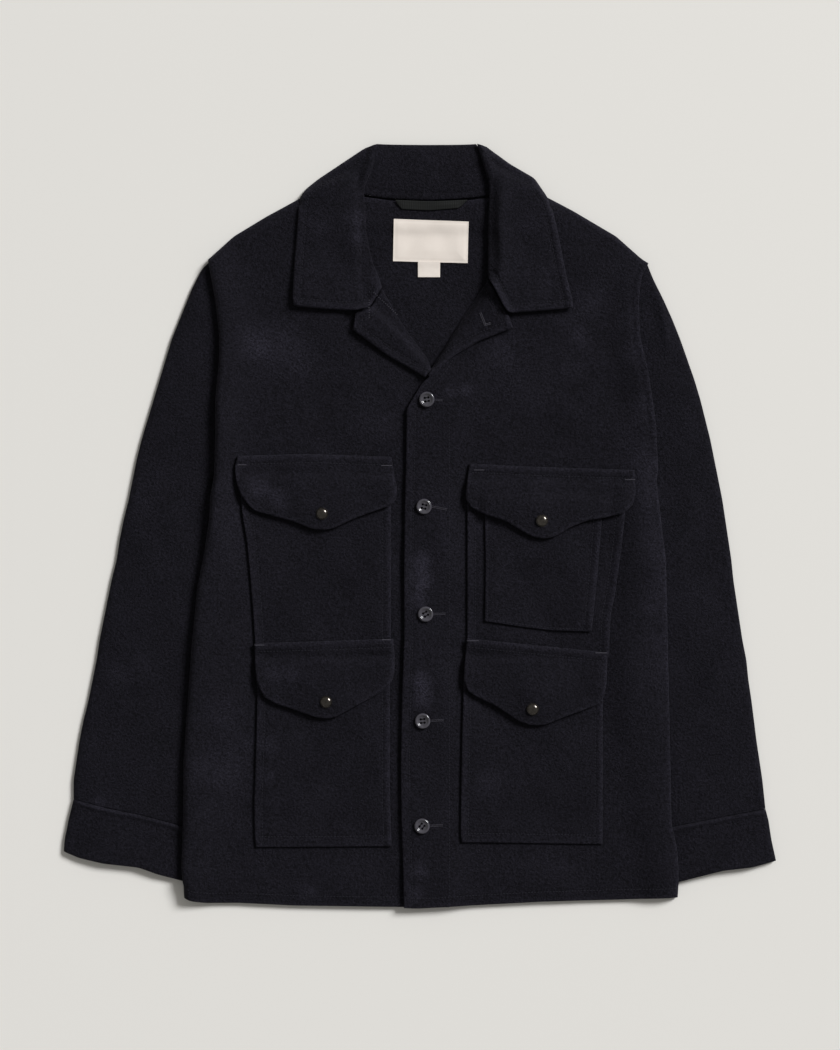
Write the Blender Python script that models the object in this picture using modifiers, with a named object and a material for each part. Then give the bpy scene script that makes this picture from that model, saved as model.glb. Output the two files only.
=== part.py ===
"""A thick wool mackinaw jacket, size L, laid flat on its back on a table.

The jacket lies face up with the collar towards +Y and its underside on the plane z = 0. Left and
right are the wearer's, so the left front is at +X and laps over the right one. Each cloth piece is
an open surface over a plan of sections, thickened by Solidify. A piece is laid on the ones made
before it: each of its points takes the height of the highest cloth in the plan cells around it.
"""
import bmesh
import bpy
import numpy as np
from mathutils import Matrix, Vector
from mathutils.bvhtree import BVHTree

# Every length below is in millimetres. The meshes are made in metres.
MM = 0.001

# Cloth and gaps
WOOL = 2.5
TAPE = 1.0
LAID_GAP = 0.35

# Sleeves and cuffs, pressed flat
SLEEVE_HEIGHT = 5.7
SLEEVE_CROWN = 2.6
CUFF_HEIGHT = 6.2
CUFF_CROWN = 1.6
# Share of a tube's width, from its outer edge, that the crown takes up, and share of its length
# at each end over which the crown fades
CROWN_WIDTH = 0.72
CROWN_FADE = 0.1
# Fullness of a tube: share of its width, share of its height at the upper face
TUBE_EDGE = ((0.0, 0.5), (0.1, 0.87), (0.2, 1.0), (0.8, 1.0), (0.9, 0.87), (1.0, 0.5))
# Columns close to the edges of a tube's outer and inner face, and the count between them
TUBE_OUTER = (0.0, 1.2, 4.0)
TUBE_INNER = (0.0, 0.3, 1.5)
TUBE_MIDDLE = 5
# Sections of a sleeve over which the curve of its armhole fades
ARMHOLE_FADE = 3.0

# How far the fronts lift off the back inside the body
BODY_PUFF = 1.4
# Rows or columns over which that lift fades in from the rolled edges, and at the front edge
ROLL_FADE = 3.0
EDGE_FADE = 2.0

# Columns of the body, from its side seam inwards
BACK_COLUMNS = (0.0, 11.0, 24.0, 38.0, 52.0)
FRONT_COLUMNS = (14.0, 28.0, 44.0, 58.0)
# Columns close to an edge take up at most this share of a short section, and an inset this one
CLOSE_SHARE = 1 / 3
INSET_SHARE = 0.2

# The rolled edge of a front: distance from the edge and how far the cloth has turned down
ROLL_INSET = 2.2
SIDE_ROLL = ((0.0, 2.5), (0.8, 0.9), (3.0, 0.0))
LAPEL_ROLL = ((0.0, 4.2), (1.2, 1.9), (4.0, 0.0))
COLLAR_ROLL = ((0.0, 7.0), (1.4, 3.6), (4.5, 0.9), (9.0, 0.0))
# How far the collar leaf arches, column by column, from the third one on
COLLAR_ARCH = (2.4, 2.6, 1.8, 0.8, 0.2)
COLLAR_ARCH_FROM = 2

# Right front, the lower one: side x, side y, front edge x, front edge y, bow of the section
RIGHT_FRONT = (
    (-231, 290, -74, 384, 7),
    (-229, 275, -73, 366, 5),
    (-226, 260, -72, 342, 3),
    (-224, 243, -71, 316, 1),
    (-221, 220, -70, 290, 0),
    (-220, 198, -72, 264, 0),
    (-220, 180, -64, 241, 0),
    (-222, 160, -30, 211, 0),
    (-224, 135, 4, 176, 0),
    (-225, 108, 28, 143, 0),
    (-225, 80, 32, 105, 0),
    (-226, 54, 32, 65, 0),
    (-230, 33, 32, 36, 0),
    (-233, 5, 32, 5, 0),
    (-237, -30, 32, -30, 0),
    (-244, -69, 32, -72, 0),
    (-250, -130, 32, -135, 0),
    (-254, -190, 32, -200, 0),
    (-258, -250, 32, -262, 0),
    (-260, -315, 32, -325, 0),
    (-262, -365, 32, -378, 0),
    (-259, -409, 32, -420.5, -2),
)

# Left front, the upper one, in the same columns
LEFT_FRONT = (
    (248, 286, 88, 386, 7),
    (243, 271, 88, 368, 5),
    (240, 252, 87, 342, 3),
    (240, 232, 88, 314, 1),
    (241, 210, 90, 288, 0),
    (245, 190, 84, 262, 0),
    (250, 168, 62, 234, 0),
    (254, 142, 37, 200, 0),
    (257, 118, 19, 172, 0),
    (259, 95, 4, 153, 0),
    (261, 72, -12, 130, 0),
    (260, 54, -15, 100, 0),
    (259, 45, -15, 66, 0),
    (261, 25, -16, 30, 0),
    (265, -5, -17, -5, 0),
    (269, -38, -17, -38, 0),
    (270, -85, -17, -85, 0),
    (271, -130, -18, -132, 0),
    (272, -190, -20, -192, 0),
    (274, -258, -21, -262, 0),
    (276, -328, -20, -334, 0),
    (283, -374, -19, -385, 0),
    (283, -409, -17.6, -420, 0),
)

# Back: y, share of the shoulder line, share of the hem line, right side x, left side x
BACK = (
    (284, 1.0, 0.0, -225.5, 242),
    (272, 0.94, 0.0, -223.5, 237),
    (252, 0.8, 0.0, -219, 234.5),
    (224, 0.6, 0.0, -215.5, 234.5),
    (195, 0.4, 0.0, -214.5, 238.5),
    (165, 0.22, 0.0, -216, 245.5),
    (135, 0.1, 0.0, -218.5, 250),
    (105, 0.0, 0.0, -219.5, 253.5),
    (78, 0.0, 0.0, -219.5, 255.5),
    (54, 0.0, 0.0, -220.5, 254),
    (33, 0.0, 0.0, -224.5, 255),
    (5, 0.0, 0.0, -227.5, 258.5),
    (-30, 0.0, 0.0, -231.5, 262.5),
    (-69, 0.0, 0.0, -238.5, 264),
    (-130, 0.0, 0.0, -244.5, 265.5),
    (-190, 0.0, 0.0, -248.5, 266.5),
    (-255, 0.0, 0.0, -252.5, 268.5),
    (-325, 0.0, 0.0, -254.5, 270.5),
    (-370, 0.0, 0.4, -256, 277),
    (-404, 0.0, 1.0, -253.5, 277.5),
)
# Shoulder and neck line of the back, above its first row: x, rise
BACK_TOP = (
    (-226, 0),
    (-205, 19),
    (-169, 41),
    (-130, 60),
    (-90, 75),
    (-66, 77),
    (-30, 72),
    (48, 72),
    (80, 76),
    (100, 78),
    (140, 60),
    (168, 46),
    (216, 18),
    (242, 0),
)
# Hem line of the back, below its last row: x, fall
BACK_HEM = ((-254, 0), (-140, -9), (0, -12), (134, -7), (278, 0))

# Right sleeve, from the armhole to the cuff: outer edge x, y and inner edge x, y
RIGHT_SLEEVE = (
    (-234.5, 285, -227.1, 56.5),
    (-247.5, 261, -228.0, 47.7),
    (-260.7, 235, -224.4, 30),
    (-274, 195, -220, 6),
    (-286, 155.5, -214.5, -22),
    (-299, 111.5, -209, -55),
    (-311, 67.5, -205.7, -90),
    (-321, 19, -204.6, -126),
    (-331, -27, -205.7, -161),
    (-341, -71, -209, -197),
    (-352, -126, -215.6, -234),
    (-363, -183, -226.6, -271),
    (-374, -242, -238.7, -304),
    (-379.5, -300, -250.8, -333.4),
)
RIGHT_CUFF = (
    (-379.5, -300.3, -250.8, -333.7),
    (-385, -324, -250.8, -357),
    (-391.6, -358, -252, -392),
)
LEFT_SLEEVE = (
    (252.5, 283, 261.5, 51),
    (264, 257, 262, 43),
    (277, 230, 258.5, 26),
    (291.5, 193, 253, 1),
    (306, 151, 246.4, -25),
    (317, 107, 241, -58),
    (325.6, 63, 236.5, -93),
    (333, 19, 234.3, -128),
    (340.5, -29, 234.3, -163.5),
    (348.7, -78, 236.5, -199),
    (356.4, -133, 241, -236),
    (364, -190, 247.5, -272),
    (372, -247, 254, -305),
    (379.5, -311, 260.7, -334.5),
)
LEFT_CUFF = (
    (379.5, -311.3, 260.7, -334.8),
    (384, -334, 263, -360),
    (391.6, -368, 265, -395.5),
)
# Armhole line of each side, outwards of the straight line from shoulder tip to underarm:
# share of the way down, offset in x
ARMHOLE = {
    "right": ((0, 0), (0.15, 8), (0.33, 10.5), (0.46, 9.5), (0.63, 4.5), (0.8, 3), (1, 0)),
    "left": (
        (0, 0), (0.05, -7), (0.13, -11.3), (0.22, -13.2), (0.32, -13.2), (0.4, -9.3), (0.5, -5),
        (0.61, -2.4), (0.71, -0.4), (0.81, 0.8), (0.91, 2), (1, 0.4),
    ),
}

# Collar at the back of the neck, round its profile from the neck seam over the fold and under:
# y, dip in the middle, right end x, left end x, height of the outer face
COLLAR_BACK = (
    (364, 7.2, -59.5, 74.5, 5.7),
    (374, 5, -58, 75, 6.0),
    (386, 3, -54, 72.5, 6.6),
    (400, 2, -50, 68, 7.3),
    (411, 1.4, -48.5, 64, 7.6),
    (417, 1.2, -47.5, 61.5, 6.4),
    (420, 1.2, -47, 60.5, 3.8),
    (417, 1.2, -48, 62, 1.0),
    (409, 1, -57, 72, 0),
    (396, 1, -76, 96, 0),
    (381, 0, -101, 119, 0),
    (365, 0, -120, 131, 0),
    (346, 0, -122, 133, 0),
    (332, 4, -110, 121, 0),
)

# Collar leaf on each front: roll edge x, y and outer edge x, y
RIGHT_COLLAR = (
    (-54, 401, -58, 411),
    (-55, 382, -83, 395.5),
    (-62, 365.5, -116.5, 375),
    (-61, 347, -132, 359),
    (-59.5, 325, -134.5, 329),
    (-55, 301, -136.5, 300),
    (-49.5, 281, -138.5, 270),
    (-44.5, 263.5, -139.7, 249),
    (-55, 239, -134, 239),
)
LEFT_COLLAR = (
    (70, 405, 77, 410.5),
    (72, 389, 99, 396.5),
    (77, 370, 126, 381),
    (76, 350, 145, 355),
    (74.5, 325, 151, 320),
    (74.5, 301, 158, 285),
    (75.5, 284, 163, 262),
    (76.5, 270, 168, 243),
    (92.5, 239, 164.5, 237.5),
)
# Lapel: roll edge x, y, outer edge x, y and, at the top edge, its bow
RIGHT_LAPEL = (
    (-40, 255, -69, 232.5, -8),
    (-32, 242, -72.5, 221, -3),
    (-22, 225, -68, 207.5),
    (-11, 209.5, -55, 199.5),
    (0, 194, -33, 184),
    (8.8, 183, -13, 172),
    (12, 175.5, 4, 164),
)
LEFT_LAPEL = (
    (73.5, 262, 97, 229, -2),
    (66, 253, 101.2, 218, -1),
    (56, 241, 95, 211),
    (46.2, 227, 83, 207.5),
    (35.2, 208.5, 65, 201.7),
    (24.2, 190.7, 46.2, 191),
    (14.3, 175.3, 24, 174),
)

# Patch pockets: y of the left point, x of the left point, y of the right point, x of the right
CHEST_POCKET_RIGHT = (
    (52, -198, 52, -31),
    (13.6, -194.7, 13.6, -32),
    (-20, -189, -20, -32),
    (-52, -186, -52, -32),
    (-90, -183, -90, -32),
    (-122, -181, -119, -32),
)
CHEST_POCKET_LEFT = (
    (48, 51.7, 48, 229),
    (12.5, 51.7, 12.5, 224.4),
    (-22, 51.7, -22, 221),
    (-75, 51.7, -75, 213.8),
    (-118, 51.7, -133, 208),
)
SMALL_POCKET_LEFT = (
    (28, 71.5, 28, 200.5),
    (6, 71, 6, 199),
    (-48, 72, -48, 194.7),
    (-80, 71.3, -84, 190.5),
    (-105.6, 71, -117, 187.5),
)
LOWER_POCKET_RIGHT = (
    (-150, -179.3, -150, -32),
    (-184, -178.2, -184, -33),
    (-225, -179.5, -225, -33),
    (-265, -180.4, -265, -33),
    (-311, -181.8, -311, -32.5),
    (-353, -179.3, -352.2, -31.2),
)
LOWER_POCKET_LEFT = (
    (-153, 47.9, -153, 202),
    (-188, 47.3, -188, 200.8),
    (-234, 45.9, -234, 200.2),
    (-280, 45.1, -280, 200.2),
    (-320, 44.6, -320, 200),
    (-347.5, 46.6, -349.8, 199.6),
)

# Scalloped lower edge that all four flaps share: share of the width, share of the depth
FLAP_EDGE = (
    (0, 0.4),
    (0.035, 0.6),
    (0.09, 0.71),
    (0.22, 0.81),
    (0.34, 0.92),
    (0.42, 0.985),
    (0.5, 1.0),
    (0.58, 0.975),
    (0.66, 0.885),
    (0.76, 0.8),
    (0.88, 0.72),
    (0.96, 0.61),
    (1, 0.4),
)
# Flap: name, left top x, y, right top x, y, depth at the tongue, lean of the lower edge in x
FLAPS = (
    ("flap_chest_right", -200.2, 75.6, -31.2, 75.2, 83, 3),
    ("flap_chest_left", 54.5, 67.0, 235, 60.3, 78, 0),
    ("flap_lower_right", -180.4, -131.6, -29.7, -125.8, 83.5, 1),
    ("flap_lower_left", 50.6, -124.4, 204.6, -139.9, 87, -1),
)
FLAP_CARRIERS = {
    "flap_chest_right": ("front_right", "pocket_chest_right"),
    "flap_chest_left": ("front_left", "pocket_chest_left", "pocket_small_left"),
    "flap_lower_right": ("front_right", "pocket_chest_right", "pocket_lower_right"),
    "flap_lower_left": ("front_left", "pocket_chest_left", "pocket_lower_left"),
}

# Four-hole buttons down the left front: centre x, y, and their turned profile
BUTTONS = ((7.4, 137.4), (4.4, 20.2), (6.1, -97.5), (2.9, -214.4), (2.2, -329.3))
BUTTON_RADIUS = 8.6
BUTTON_PROFILE = (
    (0.0, 2.2), (0.62, 2.2), (0.74, 3.4), (0.9, 3.4), (1.0, 2.2), (0.86, 0.2), (0.7, 0.0), (0.0, 0.0),
)
BUTTON_HOLE_RADIUS = 0.95
BUTTON_HOLE_PITCH = 3.4
BUTTON_STEPS = 18
HOLE_STEPS = 8
HOLE_DEPTH = 12.0

# Domed snap caps, one on each flap: flap, centre x, y
SNAPS = (
    ("chest_right", -106.9, 12.5),
    ("chest_left", 133.1, 4.8),
    ("lower_right", -102.6, -193.2),
    ("lower_left", 123.1, -200.9),
)
SNAP_RADIUS = 6.6
SNAP_STEPS = 16
SNAP_PROFILE = ((0.0, 3.3), (0.35, 3.1), (0.65, 2.5), (0.86, 1.6), (1.0, 0.5), (0.94, 0.0), (0.0, 0.0))

# Loop, label and size tag at the back of the neck: left x, y and right x, y of each row
HANGER_LOOP = ((-27.5, 357.5, 52.3, 357.5), (-25, 353.5, 48, 353.5), (-20, 346.5, 42, 347))
NECK_LABEL = ((-28.8, 336, 53.4, 333), (-29.2, 313, 52.8, 310), (-29.7, 290, 52.3, 287.5))
SIZE_TAG = ((-2.4, 286.2, 22.1, 286), (-2.3, 272.1, 22, 272))

# The largest soft ridges in the cloth: start x, y, end x, y, half width, height
FRONT_RIDGES = {
    "right": (
        (-200, 225, -120, 150, 24, 1.6),
        (-205, 60, -215, -60, 18, 1.3),
        (-80, 120, -30, 95, 20, 1.2),
    ),
    "left": (
        (60, 190, 140, 120, 24, 1.5),
        (225, 120, 238, 10, 18, 1.3),
        (25, 40, 28, -60, 12, 1.0),
    ),
}
SLEEVE_RIDGES = {
    "right": (
        (-238, 270, -262, 160, 12, 1.2),
        (-296, 70, -262, -40, 12, 1.0),
        (-340, -110, -300, -190, 12, 1.0),
    ),
    "left": (
        (258, 268, 274, 188, 12, 1.2),
        (318, 60, 286, -50, 12, 1.0),
        (345, -120, 312, -210, 12, 1.0),
    ),
}

# Colours as red, green, blue shares, then roughness and metallic
NAVY_WOOL = ((0.010, 0.010, 0.015), 0.9, 0.0)
DARK_TAPE = ((0.016, 0.018, 0.018), 0.6, 0.0)
WOVEN_LABEL = ((0.72, 0.66, 0.6), 0.8, 0.0)
DARK_BUTTON = ((0.02, 0.02, 0.022), 0.3, 0.0)
DARK_BRASS = ((0.07, 0.06, 0.055), 0.35, 1.0)

# Plan steps in each cell of a piece, and across a button, where the height of what is below is
# found by rays from well above the jacket
REFINE = 4
PROBES = 5
RAY_HEIGHT = 1000.0

surfaces = {}


def clear_scene():
    for existing in list(bpy.data.objects):
        bpy.data.objects.remove(existing, do_unlink=True)


def new_collection(name, hidden=False):
    collection = bpy.data.collections.new(name)
    bpy.context.scene.collection.children.link(collection)
    collection.hide_render = hidden
    return collection


def finish_material(name, finish):
    colour, roughness, metallic = finish
    material = bpy.data.materials.new(name)
    material.use_nodes = True
    shader = material.node_tree.nodes["Principled BSDF"]
    shader.inputs["Base Color"].default_value = (*colour, 1.0)
    shader.inputs["Roughness"].default_value = roughness
    shader.inputs["Metallic"].default_value = metallic
    material.diffuse_color = (*colour, 1.0)
    return material


def add_object(collection, name, mesh, finish):
    piece = bpy.data.objects.new(name, mesh)
    mesh.materials.append(finish_material(name + "_finish", finish))
    collection.objects.link(piece)
    return piece


def remember_surface(piece):
    """Keep the evaluated piece so that later pieces can be laid on it."""
    bpy.context.view_layer.update()
    surfaces[piece.name] = BVHTree.FromObject(piece, bpy.context.evaluated_depsgraph_get())


def along(table, amount):
    """Read a two-column table, in order of its first column, at each amount."""
    first, second = np.array(table, float).T
    return np.interp(amount, first, second)


def column_places(length, near, far, middle):
    """Distances from the start of a section: near its start, evenly between, near its end."""
    reach = max(near[-1], far[-1], 1.0)
    squeeze = min(1.0, length * CLOSE_SHARE / reach)
    first = np.array(near) * squeeze
    last = length - np.array(far)[::-1] * squeeze
    inner = np.linspace(first[-1], last[0], middle + 2)[1:-1]
    return np.concatenate((first, inner, last))


def section_plan(rows, near=(0.0,), far=(0.0,), middle=4, inset=(0.0, 0.0)):
    """Plan points on straight sections, a row for each section, from its start to its end.

    A fifth value in a row bows its section in y, by a parabola of that height.
    """
    plan = []
    for row in rows:
        start = np.array(row[0:2], float)
        end = np.array(row[2:4], float)
        length = np.linalg.norm(end - start)
        direction = (end - start) / length
        start = start + direction * min(inset[0], length * INSET_SHARE)
        end = end - direction * min(inset[1], length * INSET_SHARE)
        places = column_places(np.linalg.norm(end - start), near, far, middle)
        points = start + direction * places[:, None]
        if len(row) > 4:
            share = places / places[-1]
            points[:, 1] += row[4] * 4.0 * share * (1.0 - share)
        plan.append(points)
    return np.array(plan)


def add_rolled_rows(plan, roll):
    """Rows close to the first one, at the distances of a rolled edge, down each column."""
    step = plan[1] - plan[0]
    unit = step / np.linalg.norm(step, axis=1)[:, None]
    moved = [plan[0] + unit * (ROLL_INSET + distance) for distance, _ in roll]
    return np.concatenate((np.array(moved), plan[1:]))


def refined(plan):
    """The plan with REFINE steps in each cell."""
    rows, columns = plan.shape[:2]
    row_at = np.linspace(0, rows - 1, (rows - 1) * REFINE + 1)
    column_at = np.linspace(0, columns - 1, (columns - 1) * REFINE + 1)
    low_row = np.minimum(row_at.astype(int), rows - 2)
    low_column = np.minimum(column_at.astype(int), columns - 2)
    v = (row_at - low_row)[:, None, None]
    u = (column_at - low_column)[None, :, None]
    a = plan[np.ix_(low_row, low_column)]
    b = plan[np.ix_(low_row, low_column + 1)]
    c = plan[np.ix_(low_row + 1, low_column)]
    d = plan[np.ix_(low_row + 1, low_column + 1)]
    return (a * (1 - u) + b * u) * (1 - v) + (c * (1 - u) + d * u) * v


def widest(values, axis):
    """Largest value along one axis, up to one step past the cells on either side."""
    values = np.moveaxis(values, axis, 0)
    reach = REFINE + 1
    padded = np.pad(values, ((reach, reach), (0, 0)), mode="edge")
    count = values.shape[0]
    spans = [padded[shift:shift + count] for shift in range(2 * reach + 1)]
    return np.moveaxis(np.max(spans, axis=0), 0, axis)


def resting_height(plan, carriers):
    """Height of a piece laid on its carriers, clear of everything in the cells round each point."""
    fine = refined(plan)
    tops = np.zeros(fine.shape[:2])
    down = Vector((0.0, 0.0, -1.0))
    trees = [surfaces[name] for name in carriers]
    for index in np.ndindex(tops.shape):
        x, y = fine[index] * MM
        for tree in trees:
            hit = tree.ray_cast(Vector((x, y, RAY_HEIGHT * MM)), down)[0]
            if hit is not None:
                tops[index] = max(tops[index], hit.z / MM + LAID_GAP)
    tops = widest(widest(tops, 0), 1)
    return tops[::REFINE, ::REFINE]


def ridge_lift(plan, ridges):
    """Soft ridges: a bell across each line, fading to nothing past both of its ends."""
    lift = np.zeros(plan.shape[:2])
    for x0, y0, x1, y1, half_width, height in ridges:
        start = np.array((x0, y0), float)
        line = np.array((x1, y1), float) - start
        share = np.clip(((plan - start) @ line) / (line @ line), 0.0, 1.0)
        away = np.linalg.norm(plan - start - share[..., None] * line, axis=2)
        lift += height * np.exp(-((away / half_width) ** 2))
    return lift


def sheet_mesh(name, plan, height):
    """A grid primitive with its points moved to the plan and height, facing up at its first cell."""
    rows, columns = height.shape
    builder = bmesh.new()
    bmesh.ops.create_grid(builder, x_segments=columns - 1, y_segments=rows - 1, size=1.0)
    for vertex in builder.verts:
        column = round((vertex.co.x + 1.0) / 2.0 * (columns - 1))
        row = round((vertex.co.y + 1.0) / 2.0 * (rows - 1))
        x, y = plan[row, column]
        vertex.co = Vector((x, y, height[row, column])) * MM
    across = plan[0, 1] - plan[0, 0]
    down = plan[1, 0] - plan[0, 0]
    if across[0] * down[1] - across[1] * down[0] < 0:
        bmesh.ops.reverse_faces(builder, faces=builder.faces)
    mesh = bpy.data.meshes.new(name)
    builder.to_mesh(mesh)
    builder.free()
    return mesh


def cloth(collection, name, plan, height, finish=NAVY_WOOL, wall=WOOL, outwards=True):
    """A cloth piece: its lower face at the height given, and its wall on top of that."""
    piece = add_object(collection, name, sheet_mesh(name, plan, height), finish)
    solidify = piece.modifiers.new("wall", "SOLIDIFY")
    solidify.thickness = wall * MM
    solidify.offset = 1.0 if outwards else -1.0
    remember_surface(piece)
    return piece


def lay(collection, name, plan, carriers, lift=0.0, drop=None, below=(), **options):
    """Lay a piece on its carriers. Where it has a drop it turns down, but not into what is below."""
    height = resting_height(plan, carriers) + lift
    if drop is not None:
        height = np.where(drop > 0, np.maximum(height - drop, resting_height(plan, below)), height)
    return cloth(collection, name, plan, height, **options)


def roll_drop(shape, roll):
    """How far each point of a plan has turned down when its first columns are a rolled edge."""
    drop = np.zeros(shape)
    for column, (_, depth) in enumerate(roll):
        drop[:, column] = depth
    return drop


def tube_rings(plan_rows, height, wall, near):
    """Rings round a flattened tube: along its top from one edge to the other, back along the table."""
    plan = section_plan(plan_rows, near, near, TUBE_MIDDLE, (wall, wall))
    edge = along(TUBE_EDGE, np.linspace(0.0, 1.0, plan.shape[1]))
    clear = height - 2 * wall
    top = wall + clear * edge
    bottom = wall + clear * (1.0 - edge)
    ring_plan = np.concatenate((plan, plan[:, -2:0:-1]), axis=1)
    ring_height = np.concatenate((top, bottom[:, -2:0:-1]), axis=1)
    return np.concatenate((ring_plan, ring_height[..., None]), axis=2)


def tube(collection, name, plan_rows, crown, base, ridges=(), armhole=None):
    """A flattened tube of cloth, open at both ends: outer rings one way and inner rings back."""
    rings = []
    for wall, near in ((0.0, TUBE_OUTER), (WOOL, TUBE_INNER)):
        plan = section_plan(plan_rows, near, near, TUBE_MIDDLE, (wall, wall))
        share = np.linspace(0.0, 1.0, plan.shape[1])[None, :]
        hump = np.sin(np.pi * np.clip(share / CROWN_WIDTH, 0.0, 1.0)) ** 2
        ends = np.sin(np.pi * np.linspace(CROWN_FADE, 1.0 - CROWN_FADE, len(plan)))[:, None]
        height = base + crown * hump * ends + ridge_lift(plan, ridges) * hump
        ring = tube_rings(plan_rows, height, wall, near)
        if armhole is not None:
            fade = np.clip(1.0 - np.arange(len(plan)) / ARMHOLE_FADE, 0.0, 1.0)[:, None]
            start = ring[:, :1, 1]
            end = ring[:, plan.shape[1] - 1:plan.shape[1], 1]
            way = (ring[..., 1] - start) / (end - start)
            ring[..., 0] += along(armhole, way) * fade
        rings.append(ring)
    loft(collection, name, np.concatenate((rings[0], rings[1][::-1])))


def loft(collection, name, rings):
    """Faces between rings of equal count, closed round each ring and from the last to the first."""
    count, around = rings.shape[:2]
    number = np.arange(count * around).reshape(count, around)
    following = np.roll(number, -1, axis=0)
    faces = np.stack(
        (number, np.roll(number, -1, axis=1), np.roll(following, -1, axis=1), following), axis=-1
    ).reshape(-1, 4)
    mesh = bpy.data.meshes.new(name)
    mesh.from_pydata((rings.reshape(-1, 3) * MM).tolist(), [], faces.tolist())
    builder = bmesh.new()
    builder.from_mesh(mesh)
    bmesh.ops.recalc_face_normals(builder, faces=builder.faces)
    builder.to_mesh(mesh)
    builder.free()
    remember_surface(add_object(collection, name, mesh, NAVY_WOOL))


def make_sleeves(collection):
    tube(collection, "sleeve_right", RIGHT_SLEEVE, SLEEVE_CROWN, SLEEVE_HEIGHT,
         SLEEVE_RIDGES["right"], ARMHOLE["right"])
    tube(collection, "sleeve_left", LEFT_SLEEVE, SLEEVE_CROWN, SLEEVE_HEIGHT,
         SLEEVE_RIDGES["left"], ARMHOLE["left"])
    tube(collection, "cuff_right", RIGHT_CUFF, CUFF_CROWN, CUFF_HEIGHT)
    tube(collection, "cuff_left", LEFT_CUFF, CUFF_CROWN, CUFF_HEIGHT)


def make_collar_back(collection):
    """The collar behind the neck: the stand face up, the fold, and the leaf under it."""
    rows = [(right, y, left, y, -dip) for y, dip, right, left, _ in COLLAR_BACK]
    plan = section_plan(rows, middle=6)
    height = np.repeat(np.array([[row[4]] for row in COLLAR_BACK], float), plan.shape[1], axis=1)
    cloth(collection, "collar_back", plan, height, outwards=False)


def make_back(collection):
    rows = [(right, y, left, y) for y, _, _, right, left in BACK]
    plan = section_plan(rows, near=BACK_COLUMNS, far=BACK_COLUMNS, middle=8)
    for points, (_, shoulder, hem, _, _) in zip(plan, BACK):
        points[:, 1] += shoulder * along(BACK_TOP, points[:, 0]) + hem * along(BACK_HEM, points[:, 0])
    lay(collection, "back", plan,
        ("collar_back", "sleeve_right", "sleeve_left", "cuff_right", "cuff_left"))


def puff_share(shape):
    """Share of the body's lift at each point of a front: none on its rolls or its front edge."""
    row_at, column_at = np.indices(shape)
    rolled = len(SIDE_ROLL) - 1
    off_side = np.clip((column_at - rolled) / ROLL_FADE, 0.0, 1.0)
    off_shoulder = np.clip((row_at - rolled) / ROLL_FADE, 0.0, 1.0)
    off_edge = np.clip((shape[1] - 1 - column_at) / EDGE_FADE, 0.0, 1.0)
    return off_side * off_shoulder * off_edge


def make_front(collection, name, rows, ridges, carriers, below):
    """A front with a rolled side and shoulder, which turn down round the edge of the back."""
    near = [distance for distance, _ in SIDE_ROLL] + list(FRONT_COLUMNS)
    plan = section_plan(rows, near=near, middle=5, inset=(ROLL_INSET, 0.0))
    plan = add_rolled_rows(plan, SIDE_ROLL)
    drop = roll_drop(plan.shape[:2], SIDE_ROLL)
    for row, (_, depth) in enumerate(SIDE_ROLL):
        drop[row] = np.maximum(drop[row], depth)
    lift = (BODY_PUFF + ridge_lift(plan, ridges)) * puff_share(plan.shape[:2])
    lay(collection, name, plan, carriers, lift, drop, below)


def make_fronts(collection):
    on_table = ("sleeve_right", "sleeve_left", "cuff_right", "cuff_left", "collar_back")
    make_front(collection, "front_right", RIGHT_FRONT, FRONT_RIDGES["right"],
               on_table + ("back",), on_table)
    make_front(collection, "front_left", LEFT_FRONT, FRONT_RIDGES["left"],
               on_table + ("back", "front_right"), on_table)


def make_pockets(collection):
    for name, rows, carriers in (
        ("pocket_chest_right", CHEST_POCKET_RIGHT, ("front_right",)),
        ("pocket_chest_left", CHEST_POCKET_LEFT, ("front_left",)),
        ("pocket_small_left", SMALL_POCKET_LEFT, ("front_left", "pocket_chest_left")),
        ("pocket_lower_right", LOWER_POCKET_RIGHT, ("front_right",)),
        ("pocket_lower_left", LOWER_POCKET_LEFT, ("front_left",)),
    ):
        plan = section_plan([(x0, y0, x1, y1) for y0, x0, y1, x1 in rows], middle=4)
        lay(collection, name, plan, carriers)


def make_flaps(collection):
    """Each flap hangs from a straight sewn edge to the scalloped edge, in sections down its depth."""
    for name, x0, y0, x1, y1, depth, lean in FLAPS:
        rows = []
        for share, part in FLAP_EDGE:
            x = x0 + (x1 - x0) * share
            y = y0 + (y1 - y0) * share
            rows.append((x, y, x + lean * part, y - depth * part))
        plan = section_plan(rows, middle=3)
        lay(collection, name, plan, FLAP_CARRIERS[name])


def make_lapels(collection):
    right_on = ("back", "front_right")
    left_on = ("back", "front_right", "front_left", "lapel_right")
    for name, rows, carriers, below in (
        ("lapel_right", RIGHT_LAPEL, right_on, ("back",)),
        ("lapel_left", LEFT_LAPEL, left_on, ("back", "front_right", "lapel_right")),
    ):
        near = [distance for distance, _ in LAPEL_ROLL]
        plan = section_plan(rows, near=near, middle=3, inset=(ROLL_INSET, 0.0))
        drop = roll_drop(plan.shape[:2], LAPEL_ROLL)
        drop[0] = 0.0
        lay(collection, name, plan, carriers, drop=drop, below=below)


def make_collar_leaves(collection):
    """The collar leaf on each front: rolled at the neck, and turned down where it passes behind."""
    for name, rows, front in (
        ("collar_right", RIGHT_COLLAR, "front_right"),
        ("collar_left", LEFT_COLLAR, "front_left"),
    ):
        near = [distance for distance, _ in COLLAR_ROLL]
        far = [distance for distance, _ in SIDE_ROLL]
        plan = section_plan(rows, near=near, far=far, middle=3, inset=(ROLL_INSET, 0.0))
        drop = roll_drop(plan.shape[:2], COLLAR_ROLL)
        drop[-2:] = 0.0
        lift = np.zeros(plan.shape[:2])
        lift[:, COLLAR_ARCH_FROM:COLLAR_ARCH_FROM + len(COLLAR_ARCH)] = COLLAR_ARCH
        lift[-1] = 0.0
        below = ("back", "collar_back")
        lay(collection, name, plan, ("back", "collar_back", front), lift, drop, below)


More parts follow.
